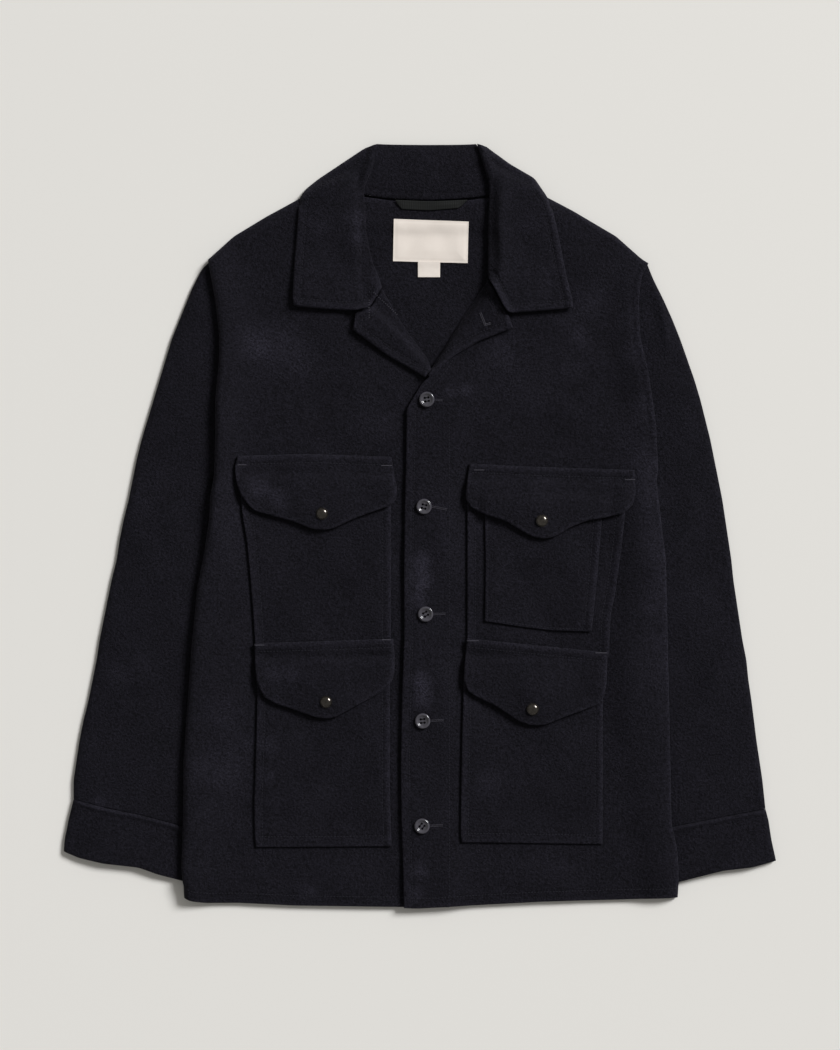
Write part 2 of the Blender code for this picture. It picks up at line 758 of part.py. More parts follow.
def make_neck_pieces(collection):
    carriers = ("back", "collar_back")
    for name, rows, finish in (
        ("hanger_loop", HANGER_LOOP, DARK_TAPE),
        ("neck_label", NECK_LABEL, WOVEN_LABEL),
        ("size_tag", SIZE_TAG, WOVEN_LABEL),
    ):
        lay(collection, name, section_plan(rows, middle=3), carriers, finish=finish, wall=TAPE)


def turned(name, profile, radius, steps):
    """A closed solid turned about Z from a profile: share of the radius, height."""
    mesh = bpy.data.meshes.new(name)
    points = [(share * radius * MM, 0.0, height * MM) for share, height in profile]
    mesh.from_pydata(points, [(i, i + 1) for i in range(len(points) - 1)], [])
    piece = bpy.data.objects.new(name, mesh)
    bpy.context.scene.collection.objects.link(piece)
    screw = piece.modifiers.new("turn", "SCREW")
    screw.steps = steps
    screw.render_steps = steps
    screw.use_merge_vertices = True
    screw.merge_threshold = 0.01 * MM
    bpy.context.view_layer.update()
    evaluated = piece.evaluated_get(bpy.context.evaluated_depsgraph_get())
    result = bpy.data.meshes.new_from_object(evaluated)
    result.name = name
    bpy.data.objects.remove(piece, do_unlink=True)
    return result


def place_flat(piece, x, y, radius, carriers):
    """Set a round piece on its carriers, clear of every point under it."""
    offsets = np.linspace(-radius, radius, PROBES)
    plan = np.stack(np.meshgrid(x + offsets, y + offsets), axis=-1)
    piece.location = (x * MM, y * MM, resting_height(plan, carriers).max() * MM)


def make_buttons(collection, cutters):
    """Buttons with a raised rim, a sunk middle and four holes cut through."""
    blank = turned("button", BUTTON_PROFILE, BUTTON_RADIUS, BUTTON_STEPS)
    for number, (x, y) in enumerate(BUTTONS, start=1):
        piece = add_object(collection, f"button_{number}", blank.copy(), DARK_BUTTON)
        place_flat(piece, x, y, BUTTON_RADIUS, ("front_left", "lapel_left"))
        builder = bmesh.new()
        for side_x in (-0.5, 0.5):
            for side_y in (-0.5, 0.5):
                centre = Vector((side_x, side_y, 0.0)) * BUTTON_HOLE_PITCH * MM
                bmesh.ops.create_cone(
                    builder, cap_ends=True, segments=HOLE_STEPS,
                    radius1=BUTTON_HOLE_RADIUS * MM, radius2=BUTTON_HOLE_RADIUS * MM,
                    depth=HOLE_DEPTH * MM,
                    matrix=Matrix.Translation(centre + piece.location),
                )
        mesh = bpy.data.meshes.new(f"button_{number}_holes")
        builder.to_mesh(mesh)
        builder.free()
        cutter = bpy.data.objects.new(f"button_{number}_holes", mesh)
        cutter.hide_render = True
        cutter.display_type = "WIRE"
        cutters.objects.link(cutter)
        cut = piece.modifiers.new("holes", "BOOLEAN")
        cut.operation = "DIFFERENCE"
        cut.solver = "EXACT"
        cut.object = cutter


def make_snaps(collection):
    cap = turned("snap", SNAP_PROFILE, SNAP_RADIUS, SNAP_STEPS)
    for place, x, y in SNAPS:
        piece = add_object(collection, f"snap_{place}", cap.copy(), DARK_BRASS)
        place_flat(piece, x, y, SNAP_RADIUS, (f"flap_{place}",))


def main():
    clear_scene()
    jacket = new_collection("mackinaw_jacket")
    cutters = new_collection("cutters", hidden=True)
    make_sleeves(jacket)
    make_collar_back(jacket)
    make_back(jacket)
    make_fronts(jacket)
    make_pockets(jacket)
    make_flaps(jacket)
    make_lapels(jacket)
    make_collar_leaves(jacket)
    make_neck_pieces(jacket)
    make_buttons(jacket, cutters)
    make_snaps(jacket)


main()
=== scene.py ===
"""Looks of the laid jacket: napped wool with sewn edges, buttons, snaps, label and loop."""

import math

import bpy
import numpy as np
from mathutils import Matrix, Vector


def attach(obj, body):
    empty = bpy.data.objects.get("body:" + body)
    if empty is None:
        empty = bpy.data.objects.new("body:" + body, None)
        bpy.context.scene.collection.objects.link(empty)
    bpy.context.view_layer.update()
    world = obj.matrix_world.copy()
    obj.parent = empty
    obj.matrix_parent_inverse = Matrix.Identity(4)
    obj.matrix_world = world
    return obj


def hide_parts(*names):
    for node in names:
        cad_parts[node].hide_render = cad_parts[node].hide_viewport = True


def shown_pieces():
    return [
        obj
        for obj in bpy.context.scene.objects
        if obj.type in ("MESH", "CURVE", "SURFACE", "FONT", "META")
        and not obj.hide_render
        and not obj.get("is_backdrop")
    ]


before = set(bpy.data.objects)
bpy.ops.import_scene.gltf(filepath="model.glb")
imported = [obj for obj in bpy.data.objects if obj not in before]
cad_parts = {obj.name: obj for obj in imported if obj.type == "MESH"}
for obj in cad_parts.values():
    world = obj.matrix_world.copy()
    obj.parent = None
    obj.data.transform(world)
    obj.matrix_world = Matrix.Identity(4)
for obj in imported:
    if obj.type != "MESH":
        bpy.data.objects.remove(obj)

bl_info = {
    "name": "Laid Mackinaw Jacket",
    "version": (1, 0, 0),
    "blender": (4, 5, 0),
    "location": "View3D > Sidebar > Jacket",
    "description": "Builds a laid wool jacket piece by piece over its CAD frame",
    "category": "Object",
}

MM = 0.001

# Each piece's edges in the plan, x and y in mm: top and bottom from its first side to its
# second, and both sides from the top down
EDGES = {
    "sleeve_right": {
        "top": (
            (-231, 289.7), (-225.5, 278.7), (-218.9, 246.8), (-215.1, 209.4), (-215.1, 179.7),
            (-218.9, 140.1), (-218.9, 100.5), (-222.2, 56.5),
        ),
        "bottom": (
            (-380.6, -301), (-340.3, -311.4), (-306.9, -318), (-268.4, -328), (-250.8, -333.4),
        ),
        "left": (
            (-231, 289.7), (-239.8, 280.9), (-245.3, 269.9), (-250.8, 258.9), (-255.2, 247.9),
            (-264, 225.9), (-272.8, 203.9), (-279.4, 181.9), (-286, 159.9), (-292.6, 137.9),
            (-299.2, 115.9), (-305.8, 93.9), (-311.3, 71.9), (-315.7, 49.9), (-320.1, 27.9),
            (-325.6, 5.9), (-330, -16.1), (-333.3, -38.1), (-338.8, -60.1), (-343.2, -82.1),
            (-347.6, -104.1), (-352, -126.1), (-355.3, -148.1), (-359.7, -170.1),
            (-364.1, -192.1), (-369.6, -214.1), (-374, -236.1), (-377.3, -258.1),
            (-380.6, -280.1), (-380.6, -301),
        ),
        "right": (
            (-222.2, 56.5), (-228, 47.7), (-224.4, 30.1), (-220, 5.9), (-214.5, -22), (-209, -55),
            (-205.7, -90), (-204.6, -126.1), (-205.7, -161), (-209, -197), (-215.6, -234),
            (-226.6, -271), (-238.7, -304), (-250.8, -333.4),
        ),
    },
    "cuff_right": {
        "top": (
            (-380.6, -301.3), (-340.3, -311.7), (-306.9, -318.3), (-268.4, -328.4),
            (-250.8, -333.7),
        ),
        "bottom": (
            (-391.3, -358.2), (-374, -365.3), (-347.1, -371.4), (-308.3, -375.8),
            (-287.1, -383.5), (-261.8, -390.1), (-252, -392.8),
        ),
        "left": ((-380.6, -301.3), (-386.1, -324.1), (-390.5, -346.1), (-391.3, -358.2)),
        "right": ((-250.8, -333.7), (-251.4, -357.1), (-252, -392.8)),
    },
    "sleeve_left": {
        "top": (
            (249.7, 286.4), (238.3, 269.9), (235.4, 246.8), (236.9, 206.7), (246.2, 166.5),
            (254.1, 113.7), (256.9, 56.5),
        ),
        "bottom": (
            (379.5, -311.7), (333.3, -320), (298.1, -326.9), (276.9, -331.3), (260.7, -334.5),
        ),
        "left": (
            (249.7, 286.4), (251.9, 280.9), (256.3, 269.9), (261.8, 258.9), (267.3, 247.9),
            (277.2, 225.9), (286, 203.9), (293.7, 181.9), (301.4, 159.9), (308, 137.9),
            (313.5, 115.9), (319, 93.9), (323.4, 71.9), (327.8, 49.9), (332.2, 27.9),
            (335.5, 5.9), (338.8, -16.1), (342.1, -38.1), (344.3, -60.1), (347.6, -82.1),
            (350.9, -104.1), (354.2, -126.1), (358.6, -148.1), (360.8, -170.1), (364.1, -192.1),
            (366.9, -214.1), (369.6, -236.1), (372.9, -258.1), (376.2, -280.1), (379.5, -311.7),
        ),
        "right": (
            (256.9, 56.5), (256, 43), (253, 26.1), (249, 1), (246.4, -25), (240.9, -58),
            (236.5, -93.1), (234.3, -128), (234.3, -163.5), (236.5, -199), (240.9, -236.1),
            (247.5, -272), (254.1, -305), (260.7, -334.5),
        ),
    },
    "cuff_left": {
        "top": (
            (379.5, -312.1), (333.3, -320.3), (298.1, -327.2), (276.9, -331.7), (260.7, -334.8),
        ),
        "bottom": (
            (391.1, -368.5), (365.2, -375.5), (333.3, -379.1), (306.9, -385.7), (285.7, -391.2),
            (265.1, -395.6),
        ),
        "left": ((379.5, -312.1), (382.8, -324.1), (386.1, -346.1), (391.1, -368.5)),
        "right": ((260.7, -334.8), (263.5, -357.1), (265.1, -395.6)),
    },
    "back": {
        "top": (
            (-225.5, 284), (-205, 303), (-169, 325), (-130, 344), (-90, 359), (-66, 361),
            (-30, 356), (48, 356), (80, 360), (100, 362), (140, 344), (168, 330), (216, 302),
            (242, 284),
        ),
        "bottom": ((-254, -404), (-140, -413), (0, -416), (134, -411), (278, -404)),
        "left": (
            (-225.5, 284), (-223.5, 272), (-219, 252), (-215.5, 224), (-214.5, 195), (-216, 165),
            (-218.5, 135), (-219.5, 105), (-219.5, 78), (-220.5, 54), (-224.5, 33), (-227.5, 5),
            (-231.5, -30), (-238.5, -69), (-244.5, -130), (-248.5, -190), (-252.5, -255),
            (-254.5, -325), (-256, -370), (-254, -404),
        ),
        "right": (
            (242, 284), (237, 272), (234.5, 252), (234.5, 224), (238.5, 195), (245.5, 165),
            (250, 135), (253.5, 105), (255.5, 78), (254, 54), (255, 33), (258.5, 5), (262.5, -30),
            (264, -69), (265.5, -130), (266.5, -190), (268.5, -255), (270.5, -325), (277, -370),
            (278, -404),
        ),
    },
    "front_right": {
        "top": (
            (-232.7, 291.4), (-223.3, 300), (-204.6, 317.2), (-169.4, 338.6), (-129.8, 360.1),
            (-99, 374.4), (-74.8, 383.2),
        ),
        "bottom": (
            (-259.1, -408.8), (-249.7, -412.7), (-233.8, -414.7), (-198, -414.7),
            (-139.7, -417.6), (-17.6, -419.3), (31.9, -419.8),
        ),
        "left": (
            (-232.7, 291.4), (-231, 280.9), (-224.4, 246.8), (-220.3, 209.4), (-220.3, 179.7),
            (-224.4, 140.1), (-224.4, 100.5), (-225.7, 54.3), (-229.9, 33.4), (-231, 7),
            (-236.5, -30.4), (-244.2, -68.9), (-250.4, -134.3), (-256.3, -217.4),
            (-259.1, -258.1), (-259.7, -325.2), (-261.8, -378), (-259.7, -392.3),
            (-259.1, -408.8),
        ),
        "right": (
            (-74.8, 383.2), (-72.6, 363.4), (-72.1, 342), (-71, 316.1), (-70, 290), (-72.1, 264),
            (-64, 241), (-30, 211), (4, 176), (28.1, 143), (31.9, 104.9), (31.9, -38.1),
            (31.9, -236.1), (31.9, -419.8),
        ),
    },
    "front_left": {
        "top": (
            (88, 386), (110, 375.5), (139.7, 360.1), (168, 345.3), (215.6, 317.2), (242.7, 293),
            (250.8, 287.5),
        ),
        "bottom": (
            (-17.6, -419.8), (-3.3, -420.5), (66, -417), (134.2, -413.4), (220, -411),
            (283.1, -408.8),
        ),
        "left": (
            (88, 386), (88, 368), (86.9, 342), (88, 313.9), (90, 288), (84, 262), (62, 234),
            (37, 200), (19, 172), (7.7, 160.5), (3.9, 157.7), (-12.1, 131.9), (-14.7, 126.9),
            (-15.4, 75.2), (-16.9, 13.6), (-17.6, -56.8), (-17.6, -126.1), (-19.8, -187.7),
            (-21.2, -264.7), (-20.5, -318.6), (-18.9, -368.1), (-17.6, -419.8),
        ),
        "right": (
            (250.8, 287.5), (242.7, 271), (239.8, 246.8), (241.3, 206.7), (250.6, 166.5),
            (258.5, 113.7), (261.2, 59.8), (259.1, 49.4), (264, 7), (269.3, -38.1),
            (271.5, -128.3), (274.3, -258.1), (275.6, -328.5), (278.7, -340.1), (281.9, -356.5),
            (283.1, -378), (283.8, -396.7), (283.1, -408.8),
        ),
    },
    "pocket_chest_right": {
        "top": ((-196.9, 49.9), (-31.9, 49.9)),
        "bottom": ((-180.4, -137.1), (-31.9, -137.1)),
        "left": (
            (-196.9, 49.9), (-194.7, 13.6), (-189.2, -19.4), (-186.2, -52), (-182.6, -97.5),
            (-180.7, -128.3), (-180.4, -137.1),
        ),
        "right": ((-31.9, 49.9), (-31.9, 18), (-31.9, -54.6), (-31.9, -137.1)),
    },
    "pocket_chest_left": {
        "top": ((51.7, 44.4), (226.6, 41.1)),
        "bottom": ((51.7, -132.7), (206.8, -144.8)),
        "left": ((51.7, 44.4), (51.7, 18), (51.7, -54.6), (51.7, -132.7)),
        "right": (
            (226.6, 41.1), (224.4, 12.5), (220.9, -22.3), (213.8, -74.9), (208.7, -98.6),
            (206.8, -144.8),
        ),
    },
    "pocket_small_left": {
        "top": ((71, 27.9), (200.2, 27.9)),
        "bottom": ((71, -105.2), (108.7, -110.9), (143.8, -115.3), (187.6, -116.7)),
        "left": ((71, 27.9), (71, 10.3), (71.8, -39.8), (71, -105.2)),
        "right": ((200.2, 27.9), (199.1, 5.9), (194.7, -48.6), (187.6, -116.7)),
    },
    "pocket_lower_right": {
        "top": ((-179.3, -150.3), (-33, -150.3)),
        "bottom": ((-179.9, -353), (-31.1, -352.2)),
        "left": (
            (-179.3, -150.3), (-178.2, -184.4), (-178.8, -212.5), (-180.4, -264.7),
            (-181.8, -310.9), (-181.1, -343.9), (-179.9, -353),
        ),
        "right": ((-33, -150.3), (-33, -176.7), (-33, -295.5), (-31.1, -352.2)),
    },
    "pocket_lower_left": {
        "top": ((48.4, -150.3), (202.4, -150.3)),
        "bottom": ((45.7, -347.5), (199.9, -349.8)),
        "left": (
            (48.4, -150.3), (47.3, -187.7), (45.9, -233.9), (45.1, -280.1), (44.3, -337.3),
            (45.7, -347.5),
        ),
        "right": ((202.4, -150.3), (200.2, -187.7), (200.2, -269.1), (199.9, -349.8)),
    },
    "flap_chest_right": {
        "top": ((-199.1, 75.7), (-123.2, 77.9), (-31.2, 74.8)),
        "bottom": (
            (-187, 21.3), (-179.9, 15.2), (-159.8, 9.7), (-136.4, 3.1), (-117.7, -4.5),
            (-105.1, -5.5), (-94.2, -3.6), (-77.7, 4.5), (-59.4, 11.9), (-31.9, 21.3),
            (-26.4, 27.9),
        ),
        "left": ((-199.1, 75.7), (-202.4, 63.1), (-200.9, 48.3), (-196.2, 33.8), (-187, 21.3)),
        "right": ((-31.2, 74.8), (-28.6, 57.6), (-24.9, 39.3), (-26.4, 27.9)),
    },
    "flap_chest_left": {
        "top": ((54.2, 67.2), (126.2, 63.7), (235, 60.2)),
        "bottom": (
            (56.1, 19.1), (70.1, 11.9), (94.6, 4.1), (114, -8.4), (126.2, -13.9), (136.7, -15),
            (147.2, -12.8), (164.8, -2.1), (182.3, 4.8), (201.6, 7.9), (222.6, 12.8),
            (232.1, 21.6),
        ),
        "left": ((54.2, 67.2), (50.6, 41.1), (49.5, 28.6), (56.1, 19.1)),
        "right": ((235, 60.2), (235.8, 33.9), (232.1, 21.6)),
    },
    "flap_lower_right": {
        "top": ((-181.1, -129.4), (-105.6, -127.2), (-29, -124.4)),
        "bottom": (
            (-170.5, -187.7), (-157.9, -195.4), (-136.4, -202.5), (-114.4, -210.2),
            (-102.3, -211.9), (-93.1, -210.2), (-77.7, -201.7), (-44, -183.3), (-34.4, -175.6),
        ),
        "left": ((-181.1, -129.4), (-180.4, -156.9), (-178.2, -172.3), (-170.5, -187.7)),
        "right": ((-29, -124.4), (-27.5, -149.2), (-28.3, -166.2), (-34.4, -175.6)),
    },
    "flap_lower_left": {
        "top": ((51.2, -123.9), (126.5, -131.6), (204.9, -139.6)),
        "bottom": (
            (52.8, -181.6), (60.5, -187), (86.9, -200.1), (108.5, -214.8), (120.8, -219),
            (136.2, -218.7), (154.8, -211), (176.3, -203.3), (193.3, -196.2), (201.1, -187.7),
        ),
        "left": ((51.2, -123.9), (49.1, -149.2), (47.3, -169), (52.8, -181.6)),
        "right": ((204.9, -139.6), (204.2, -172.3), (201.1, -187.7)),
    },
    "lapel_right": {
        "top": ((-73.7, 213.8), (-70.4, 233.1), (-55, 236.9), (-41.2, 259.5)),
        "bottom": ((5.5, 161.6), (12.7, 170.9)),
        "left": ((-73.7, 213.8), (-36.3, 186.3), (5.5, 161.6)),
        "right": (
            (-41.2, 259.5), (-33, 244.6), (-25.3, 230.3), (-8.8, 206.1), (8.8, 183),
            (12.7, 170.9),
        ),
    },
    "lapel_left": {
        "top": ((74.8, 268.8), (92.4, 235.3), (96.8, 230.3), (101.8, 216)),
        "bottom": ((8.8, 164.3), (9.9, 161.6)),
        "left": (
            (74.8, 268.8), (60.5, 247.9), (46.2, 227), (28.6, 197.3), (12.1, 172), (8.8, 164.3),
        ),
        "right": ((101.8, 216), (64.9, 201.7), (35.2, 184.1), (9.9, 161.6)),
    },
    "collar_right": {
        "top": ((-59.4, 414.6), (-46.2, 418.4)),
        "bottom": (
            (-138.6, 240.8), (-135.3, 239.1), (-104.5, 236.4), (-70.4, 234.7), (-55.6, 238),
            (-41.8, 261.1),
        ),
        "left": (
            (-59.4, 414.6), (-62.7, 412.9), (-79.2, 401.9), (-95.7, 390.9), (-112.2, 379.9),
            (-126.5, 368.4), (-132, 359.6), (-134.2, 329.3), (-137.5, 287.5), (-139.7, 250.1),
            (-138.6, 240.8),
        ),
        "right": (
            (-46.2, 418.4), (-49.5, 401.9), (-51.7, 390.9), (-59.4, 374.4), (-61.6, 365.6),
            (-60.5, 352.4), (-59.4, 333.7), (-58.9, 321.6), (-55, 300.7), (-51.7, 287.5),
            (-46.2, 275.4), (-41.8, 261.1),
        ),
    },
    "collar_left": {
        "top": ((62.6, 417.8), (73.7, 415.1)),
        "bottom": ((75.4, 269.4), (93, 235.8), (96.8, 231.9), (132, 234.2), (167.2, 237.5)),
        "left": (
            (62.6, 417.8), (64.9, 409.6), (70.4, 392), (75.9, 373.3), (75.7, 357.9),
            (74.6, 329.3), (74.4, 277.6), (75.4, 269.4),
        ),
        "right": (
            (73.7, 415.1), (99, 396.4), (126, 381), (138.6, 362.3), (143, 354.6), (151.8, 317.2),
            (159.5, 277.1), (167.2, 244.6), (167.2, 237.5),
        ),
    },
    "hanger_loop": {
        "top": ((-27.5, 356.8), (11, 355.1), (52.3, 356.8)),
        "bottom": ((-19.8, 346.4), (11, 345), (41.8, 347.5)),
        "left": ((-27.5, 356.8), (-25.3, 352.4), (-19.8, 346.4)),
        "right": ((52.3, 356.8), (48.4, 351.9), (41.8, 347.5)),
    },
    "neck_label": {
        "top": ((-28.8, 335.9), (53.4, 332.9)),
        "bottom": ((-29.7, 289.7), (52.3, 287.5)),
        "left": ((-28.8, 335.9), (-29.3, 312.8), (-29.7, 289.7)),
        "right": ((53.4, 332.9), (52.8, 310.6), (52.3, 287.5)),
    },
    "size_tag": {
        "top": ((-2.4, 289.2), (22.1, 289.2)),
        "bottom": ((-2.3, 272.1), (22, 272.1)),
        "left": ((-2.4, 289.2), (-2.3, 272.1)),
        "right": ((22.1, 289.2), (22, 272.1)),
    },
}

# Ending of the new pieces' names, after the name of the node that each stands for
LAID = "_laid"
# Edges of a wool piece: distance in from the edge at which the mesh has a line, mm
RIM = (0.0, 0.3, 0.9, 1.9)
# Share of the wall that is left upright at the very edge
RIM_UPRIGHT = 0.3
# Relief maps that later pieces rest on: cell size and lowest corner in mm, cells in x and y
CELL = 1.5
MAP_CORNER = (-420.0, -450.0)
MAP_CELLS = (561, 601)
# Air between a piece and what it lies on
REST_GAP = 0.3

# What each piece lies on
CARRIERS = {
    "back": ("sleeve_right", "sleeve_left", "collar_under"),
    "front_right": ("sleeve_right", "sleeve_left", "back", "collar_under"),
    "front_left": ("sleeve_right", "sleeve_left", "back", "front_right", "collar_under"),
    "pocket_chest_right": ("front_right", "front_left"),
    "pocket_chest_left": ("front_left",),
    "pocket_small_left": ("front_left", "pocket_chest_left"),
    "pocket_lower_right": ("front_right", "front_left", "pocket_chest_right"),
    "pocket_lower_left": ("front_left", "pocket_chest_left"),
    "flap_chest_right": ("front_right", "pocket_chest_right"),
    "flap_chest_left": ("front_left", "pocket_chest_left", "pocket_small_left"),
    "flap_lower_right": ("front_right", "pocket_chest_right", "pocket_lower_right"),
    "flap_lower_left": ("front_left", "pocket_chest_left", "pocket_lower_left"),
    "lapel_right": ("front_right", "front_left"),
    "lapel_left": ("front_right", "front_left"),
    "collar_right": ("back", "front_right", "collar_back", "lapel_right", "collar_under"),
    "collar_left": ("back", "front_left", "collar_back", "lapel_left", "collar_under"),
    "hanger_loop": ("back", "collar_back"),
    "neck_label": ("back",),
    "size_tag": ("back", "neck_label"),
}
# Edges that roll down towards what lies below: edge, first and last share of its length, radius
# of the roll, and the height in mm at which it stops above the layers in ROLLS_ONTO
ROLLS = {
    "back": (("left", 0.0, 1.0, 4.0, 0.0), ("right", 0.0, 1.0, 4.0, 0.0)),
    "front_right": (("left", 0.0, 1.0, 6.5, 1.2), ("top", 0.0, 1.0, 6.0, 0.6)),
    "front_left": (("right", 0.0, 1.0, 15.0, 2.0), ("top", 0.0, 1.0, 6.0, 0.6)),
    "lapel_right": (("right", 0.0, 1.0, 5.0, 0.6),),
    "lapel_left": (("left", 0.0, 1.0, 5.0, 2.0),),
    "collar_right": (("left", 0.0, 0.47, 9.0, 0.3), ("right", 0.0, 1.0, 13.0, 1.5)),
    "collar_left": (("right", 0.0, 0.47, 9.0, 0.3), ("left", 0.0, 1.0, 9.0, 8.0)),
}
# Edges that are folds of the cloth, so that their nap isn't rubbed up as on a seam
FOLDED_EDGES = {
    "lapel_right": ("right",),
    "lapel_left": ("left",),
    "collar_right": ("right",),
    "collar_left": ("left",),
}
ROLLS_ONTO = {
    "back": ("sleeve_right", "sleeve_left"),
    "front_right": ("sleeve_right", "sleeve_left"),
    "front_left": ("sleeve_right", "sleeve_left"),
    "lapel_right": ("front_right", "front_left"),
    "lapel_left": ("front_right", "front_left"),
    "collar_right": ("sleeve_right", "back", "collar_under"),
    "collar_left": ("sleeve_left", "back", "collar_under"),
}
# Rows of stitching: edge, inset, depth of the trough and swell of the turned edge, mm
SEWN = {
    "front_right": (("bottom", 11.0, 0.3, 0.15),),
    "front_left": (("left", 9.5, 0.6, 0.5), ("bottom", 11.0, 0.3, 0.15)),
    "pocket_chest_right": (("left", 9.5, 0.5, 0.4), ("right", 9.0, 0.5, 0.35)),
    "pocket_chest_left": (("left", 9.0, 0.5, 0.35), ("right", 9.5, 0.6, 0.5)),
    "pocket_small_left": (
        ("left", 2.5, 0.4, 0.0), ("right", 9.0, 0.6, 0.5), ("bottom", 2.5, 0.4, 0.0),
    ),
    "pocket_lower_right": (
        ("left", 8.5, 0.6, 0.5), ("right", 8.5, 0.6, 0.5), ("bottom", 11.5, 0.5, 0.4),
    ),
    "pocket_lower_left": (
        ("left", 8.5, 0.6, 0.5), ("right", 8.5, 0.6, 0.5), ("bottom", 10.0, 0.5, 0.4),
    ),
    "flap_chest_right": (("top", 9.5, 0.6, 0.3),),
    "flap_chest_left": (("top", 9.5, 0.6, 0.3),),
    "flap_lower_right": (("top", 9.5, 0.6, 0.3),),
    "flap_lower_left": (("top", 9.5, 0.6, 0.3),),
    "lapel_right": (("left", 8.5, 0.5, 0.5), ("top", 8.5, 0.4, 0.3)),
    "lapel_left": (("right", 8.5, 0.5, 0.5), ("top", 8.5, 0.4, 0.3)),
    "collar_right": (("left", 9.0, 0.5, 0.5), ("bottom", 9.0, 0.7, 0.7)),
    "collar_left": (("right", 9.0, 0.7, 0.7), ("bottom", 9.0, 0.7, 0.7)),
    "cuff_right": (("top", 6.0, 0.3, 1.7), ("bottom", 10.0, 0.2, 0.1)),
    "cuff_left": (("top", 6.0, 0.3, 1.7), ("bottom", 10.0, 0.2, 0.1)),
    "neck_label": (
        ("top", 2.0, 0.2, 0.0), ("bottom", 2.0, 0.2, 0.0),
        ("left", 2.0, 0.2, 0.0), ("right", 2.0, 0.2, 0.0),
    ),
}
# Half width of a sewn trough, mm
SEAM_HALF_WIDTH = 1.5

# Soft folds by piece: start x, y, end x, y, bow, half width, height (troughs are below 0), mm
FOLDS = {
    "front_right": (
        (-200, 225, -120, 150, 6, 24, 1.4),
        (-205, 60, -215, -60, -4, 18, 1.2),
        (-80, 120, -30, 95, 3, 20, 1.0),
        (-226, 250, -216, 120, -8, 9, -0.5),
        (-129, 353, -200, 306, 0, 1.8, 0.6),
        (-60, 30, -30, -90, 4, 12, 0.8),
        (-236, -150, -200, -330, 10, 16, 1.0),
        (-150, -370, -40, -395, 5, 14, 0.7),
    ),
    "front_left": (
        (60, 190, 140, 120, 5, 24, 1.5),
        (225, 120, 238, 10, 5, 18, 1.3),
        (25, 40, 28, -60, -2, 12, 1.0),
        (150, 250, 205, 170, -8, 16, 1.0),
        (145, 357, 202, 318, 0, 1.6, 0.9),
        (198, 321, 238, 297, 0, 1.6, 0.9),
        (20, -130, 30, -230, 3, 12, 0.7),
        (236, -150, 226, -330, -9, 18, 0.7),
        (60, -372, 190, -388, 4, 14, 0.8),
    ),
}
SLEEVE_FOLDS = {
    "sleeve_right": (
        (-238, 270, -262, 160, -4, 12, 1.2),
        (-296, 70, -262, -40, 6, 12, 1.2),
        (-340, -110, -300, -190, 5, 12, 1.2),
        (-250, 120, -290, 40, 8, 9, -0.8),
        (-262, -60, -320, -90, 5, 9, -0.7),
        (-290, -200, -345, -240, -6, 11, 0.8),
    ),
    "sleeve_left": (
        (250, 286, 272, 186, 5, 5, 2.6),
        (318, 60, 286, -50, -6, 12, 1.2),
        (345, -120, 312, -210, -5, 12, 1.1),
        (268, 130, 312, 70, -7, 9, -0.8),
        (280, -70, 334, -110, -5, 9, -0.8),
        (300, -210, 352, -260, 6, 11, 0.8),
    ),
}
# Slow swells of the cloth: waves per metre in x and y, start of the wave, height in mm
SWELLS = (
    (9.0, 5.2, 0.4, 0.32),
    (-6.1, 11.3, 1.9, 0.26),
    (15.7, -8.4, 4.1, 0.18),
    (3.3, 19.1, 2.6, 0.14),
    (24.1, 13.7, 5.3, 0.09),
    (-19.3, 27.9, 0.9, 0.07),
)

# Sleeve height between its folded edges, its crown and the radius of its folded edges, mm
SLEEVE_HEIGHT = 6.4
SLEEVE_CROWN = 1.6
SLEEVE_EDGE = 6.5
# Width of the rubbed nap below a cuff's seam, mm
CUFF_SEAM = 6.0

reliefs = {}


def smooth_line(points, step=2.0, passes=3):
    """Evenly stepped line through the points, with its corners softened over a few mm."""
    points = np.array(points, float)
    lengths = np.hypot(*np.diff(points, axis=0).T)
    along = np.concatenate([[0.0], np.cumsum(lengths)])
    count = max(8, int(along[-1] / step)) + 1
    places = np.linspace(0.0, along[-1], count)
    line = np.stack([np.interp(places, along, points[:, k]) for k in (0, 1)], axis=1)
    for _ in range(passes):
        line[1:-1] = (line[:-2] + 2.0 * line[1:-1] + line[2:]) / 4.0
    return line


def at_share(line, share):
    """Places on the line at shares 0 to 1 of its length."""
    along = np.concatenate([[0.0], np.cumsum(np.hypot(*np.diff(line, axis=0).T))])
    along /= along[-1]
    return np.stack([np.interp(share, along, line[:, k]) for k in (0, 1)], axis=-1)


def blended_plan(edges, across, down):
    """Plan of a four-sided piece: with s across and t down it is
    (1-t) top(s) + t bottom(s) + (1-s) left(t) + s right(t), less the blend of the four corners."""
    s, t = np.meshgrid(across, down)
    s, t = s[..., None], t[..., None]
    top = at_share(edges["top"], across)[None]
    bottom = at_share(edges["bottom"], across)[None]
    left = at_share(edges["left"], down)[:, None]
    right = at_share(edges["right"], down)[:, None]
    corners = (1 - s) * (1 - t) * top[:, :1] + s * (1 - t) * top[:, -1:]
    corners = corners + (1 - s) * t * bottom[:, :1] + s * t * bottom[:, -1:]
    return (1 - t) * top + t * bottom + (1 - s) * left + s * right - corners


def line_places(length, step, rim=RIM):
    """Shares 0 to 1 of a length in mm: at the rim's distances from both ends, then even."""
    count = max(2, int(round((length - 2 * rim[-1]) / step)))
    middle = np.linspace(rim[-1], length - rim[-1], count + 1)
    ends = np.array(rim[:-1])
    return np.concatenate([ends, middle, (length - ends)[::-1]]) / length


def line_length(line):
    return float(np.hypot(*np.diff(line, axis=0).T).sum())


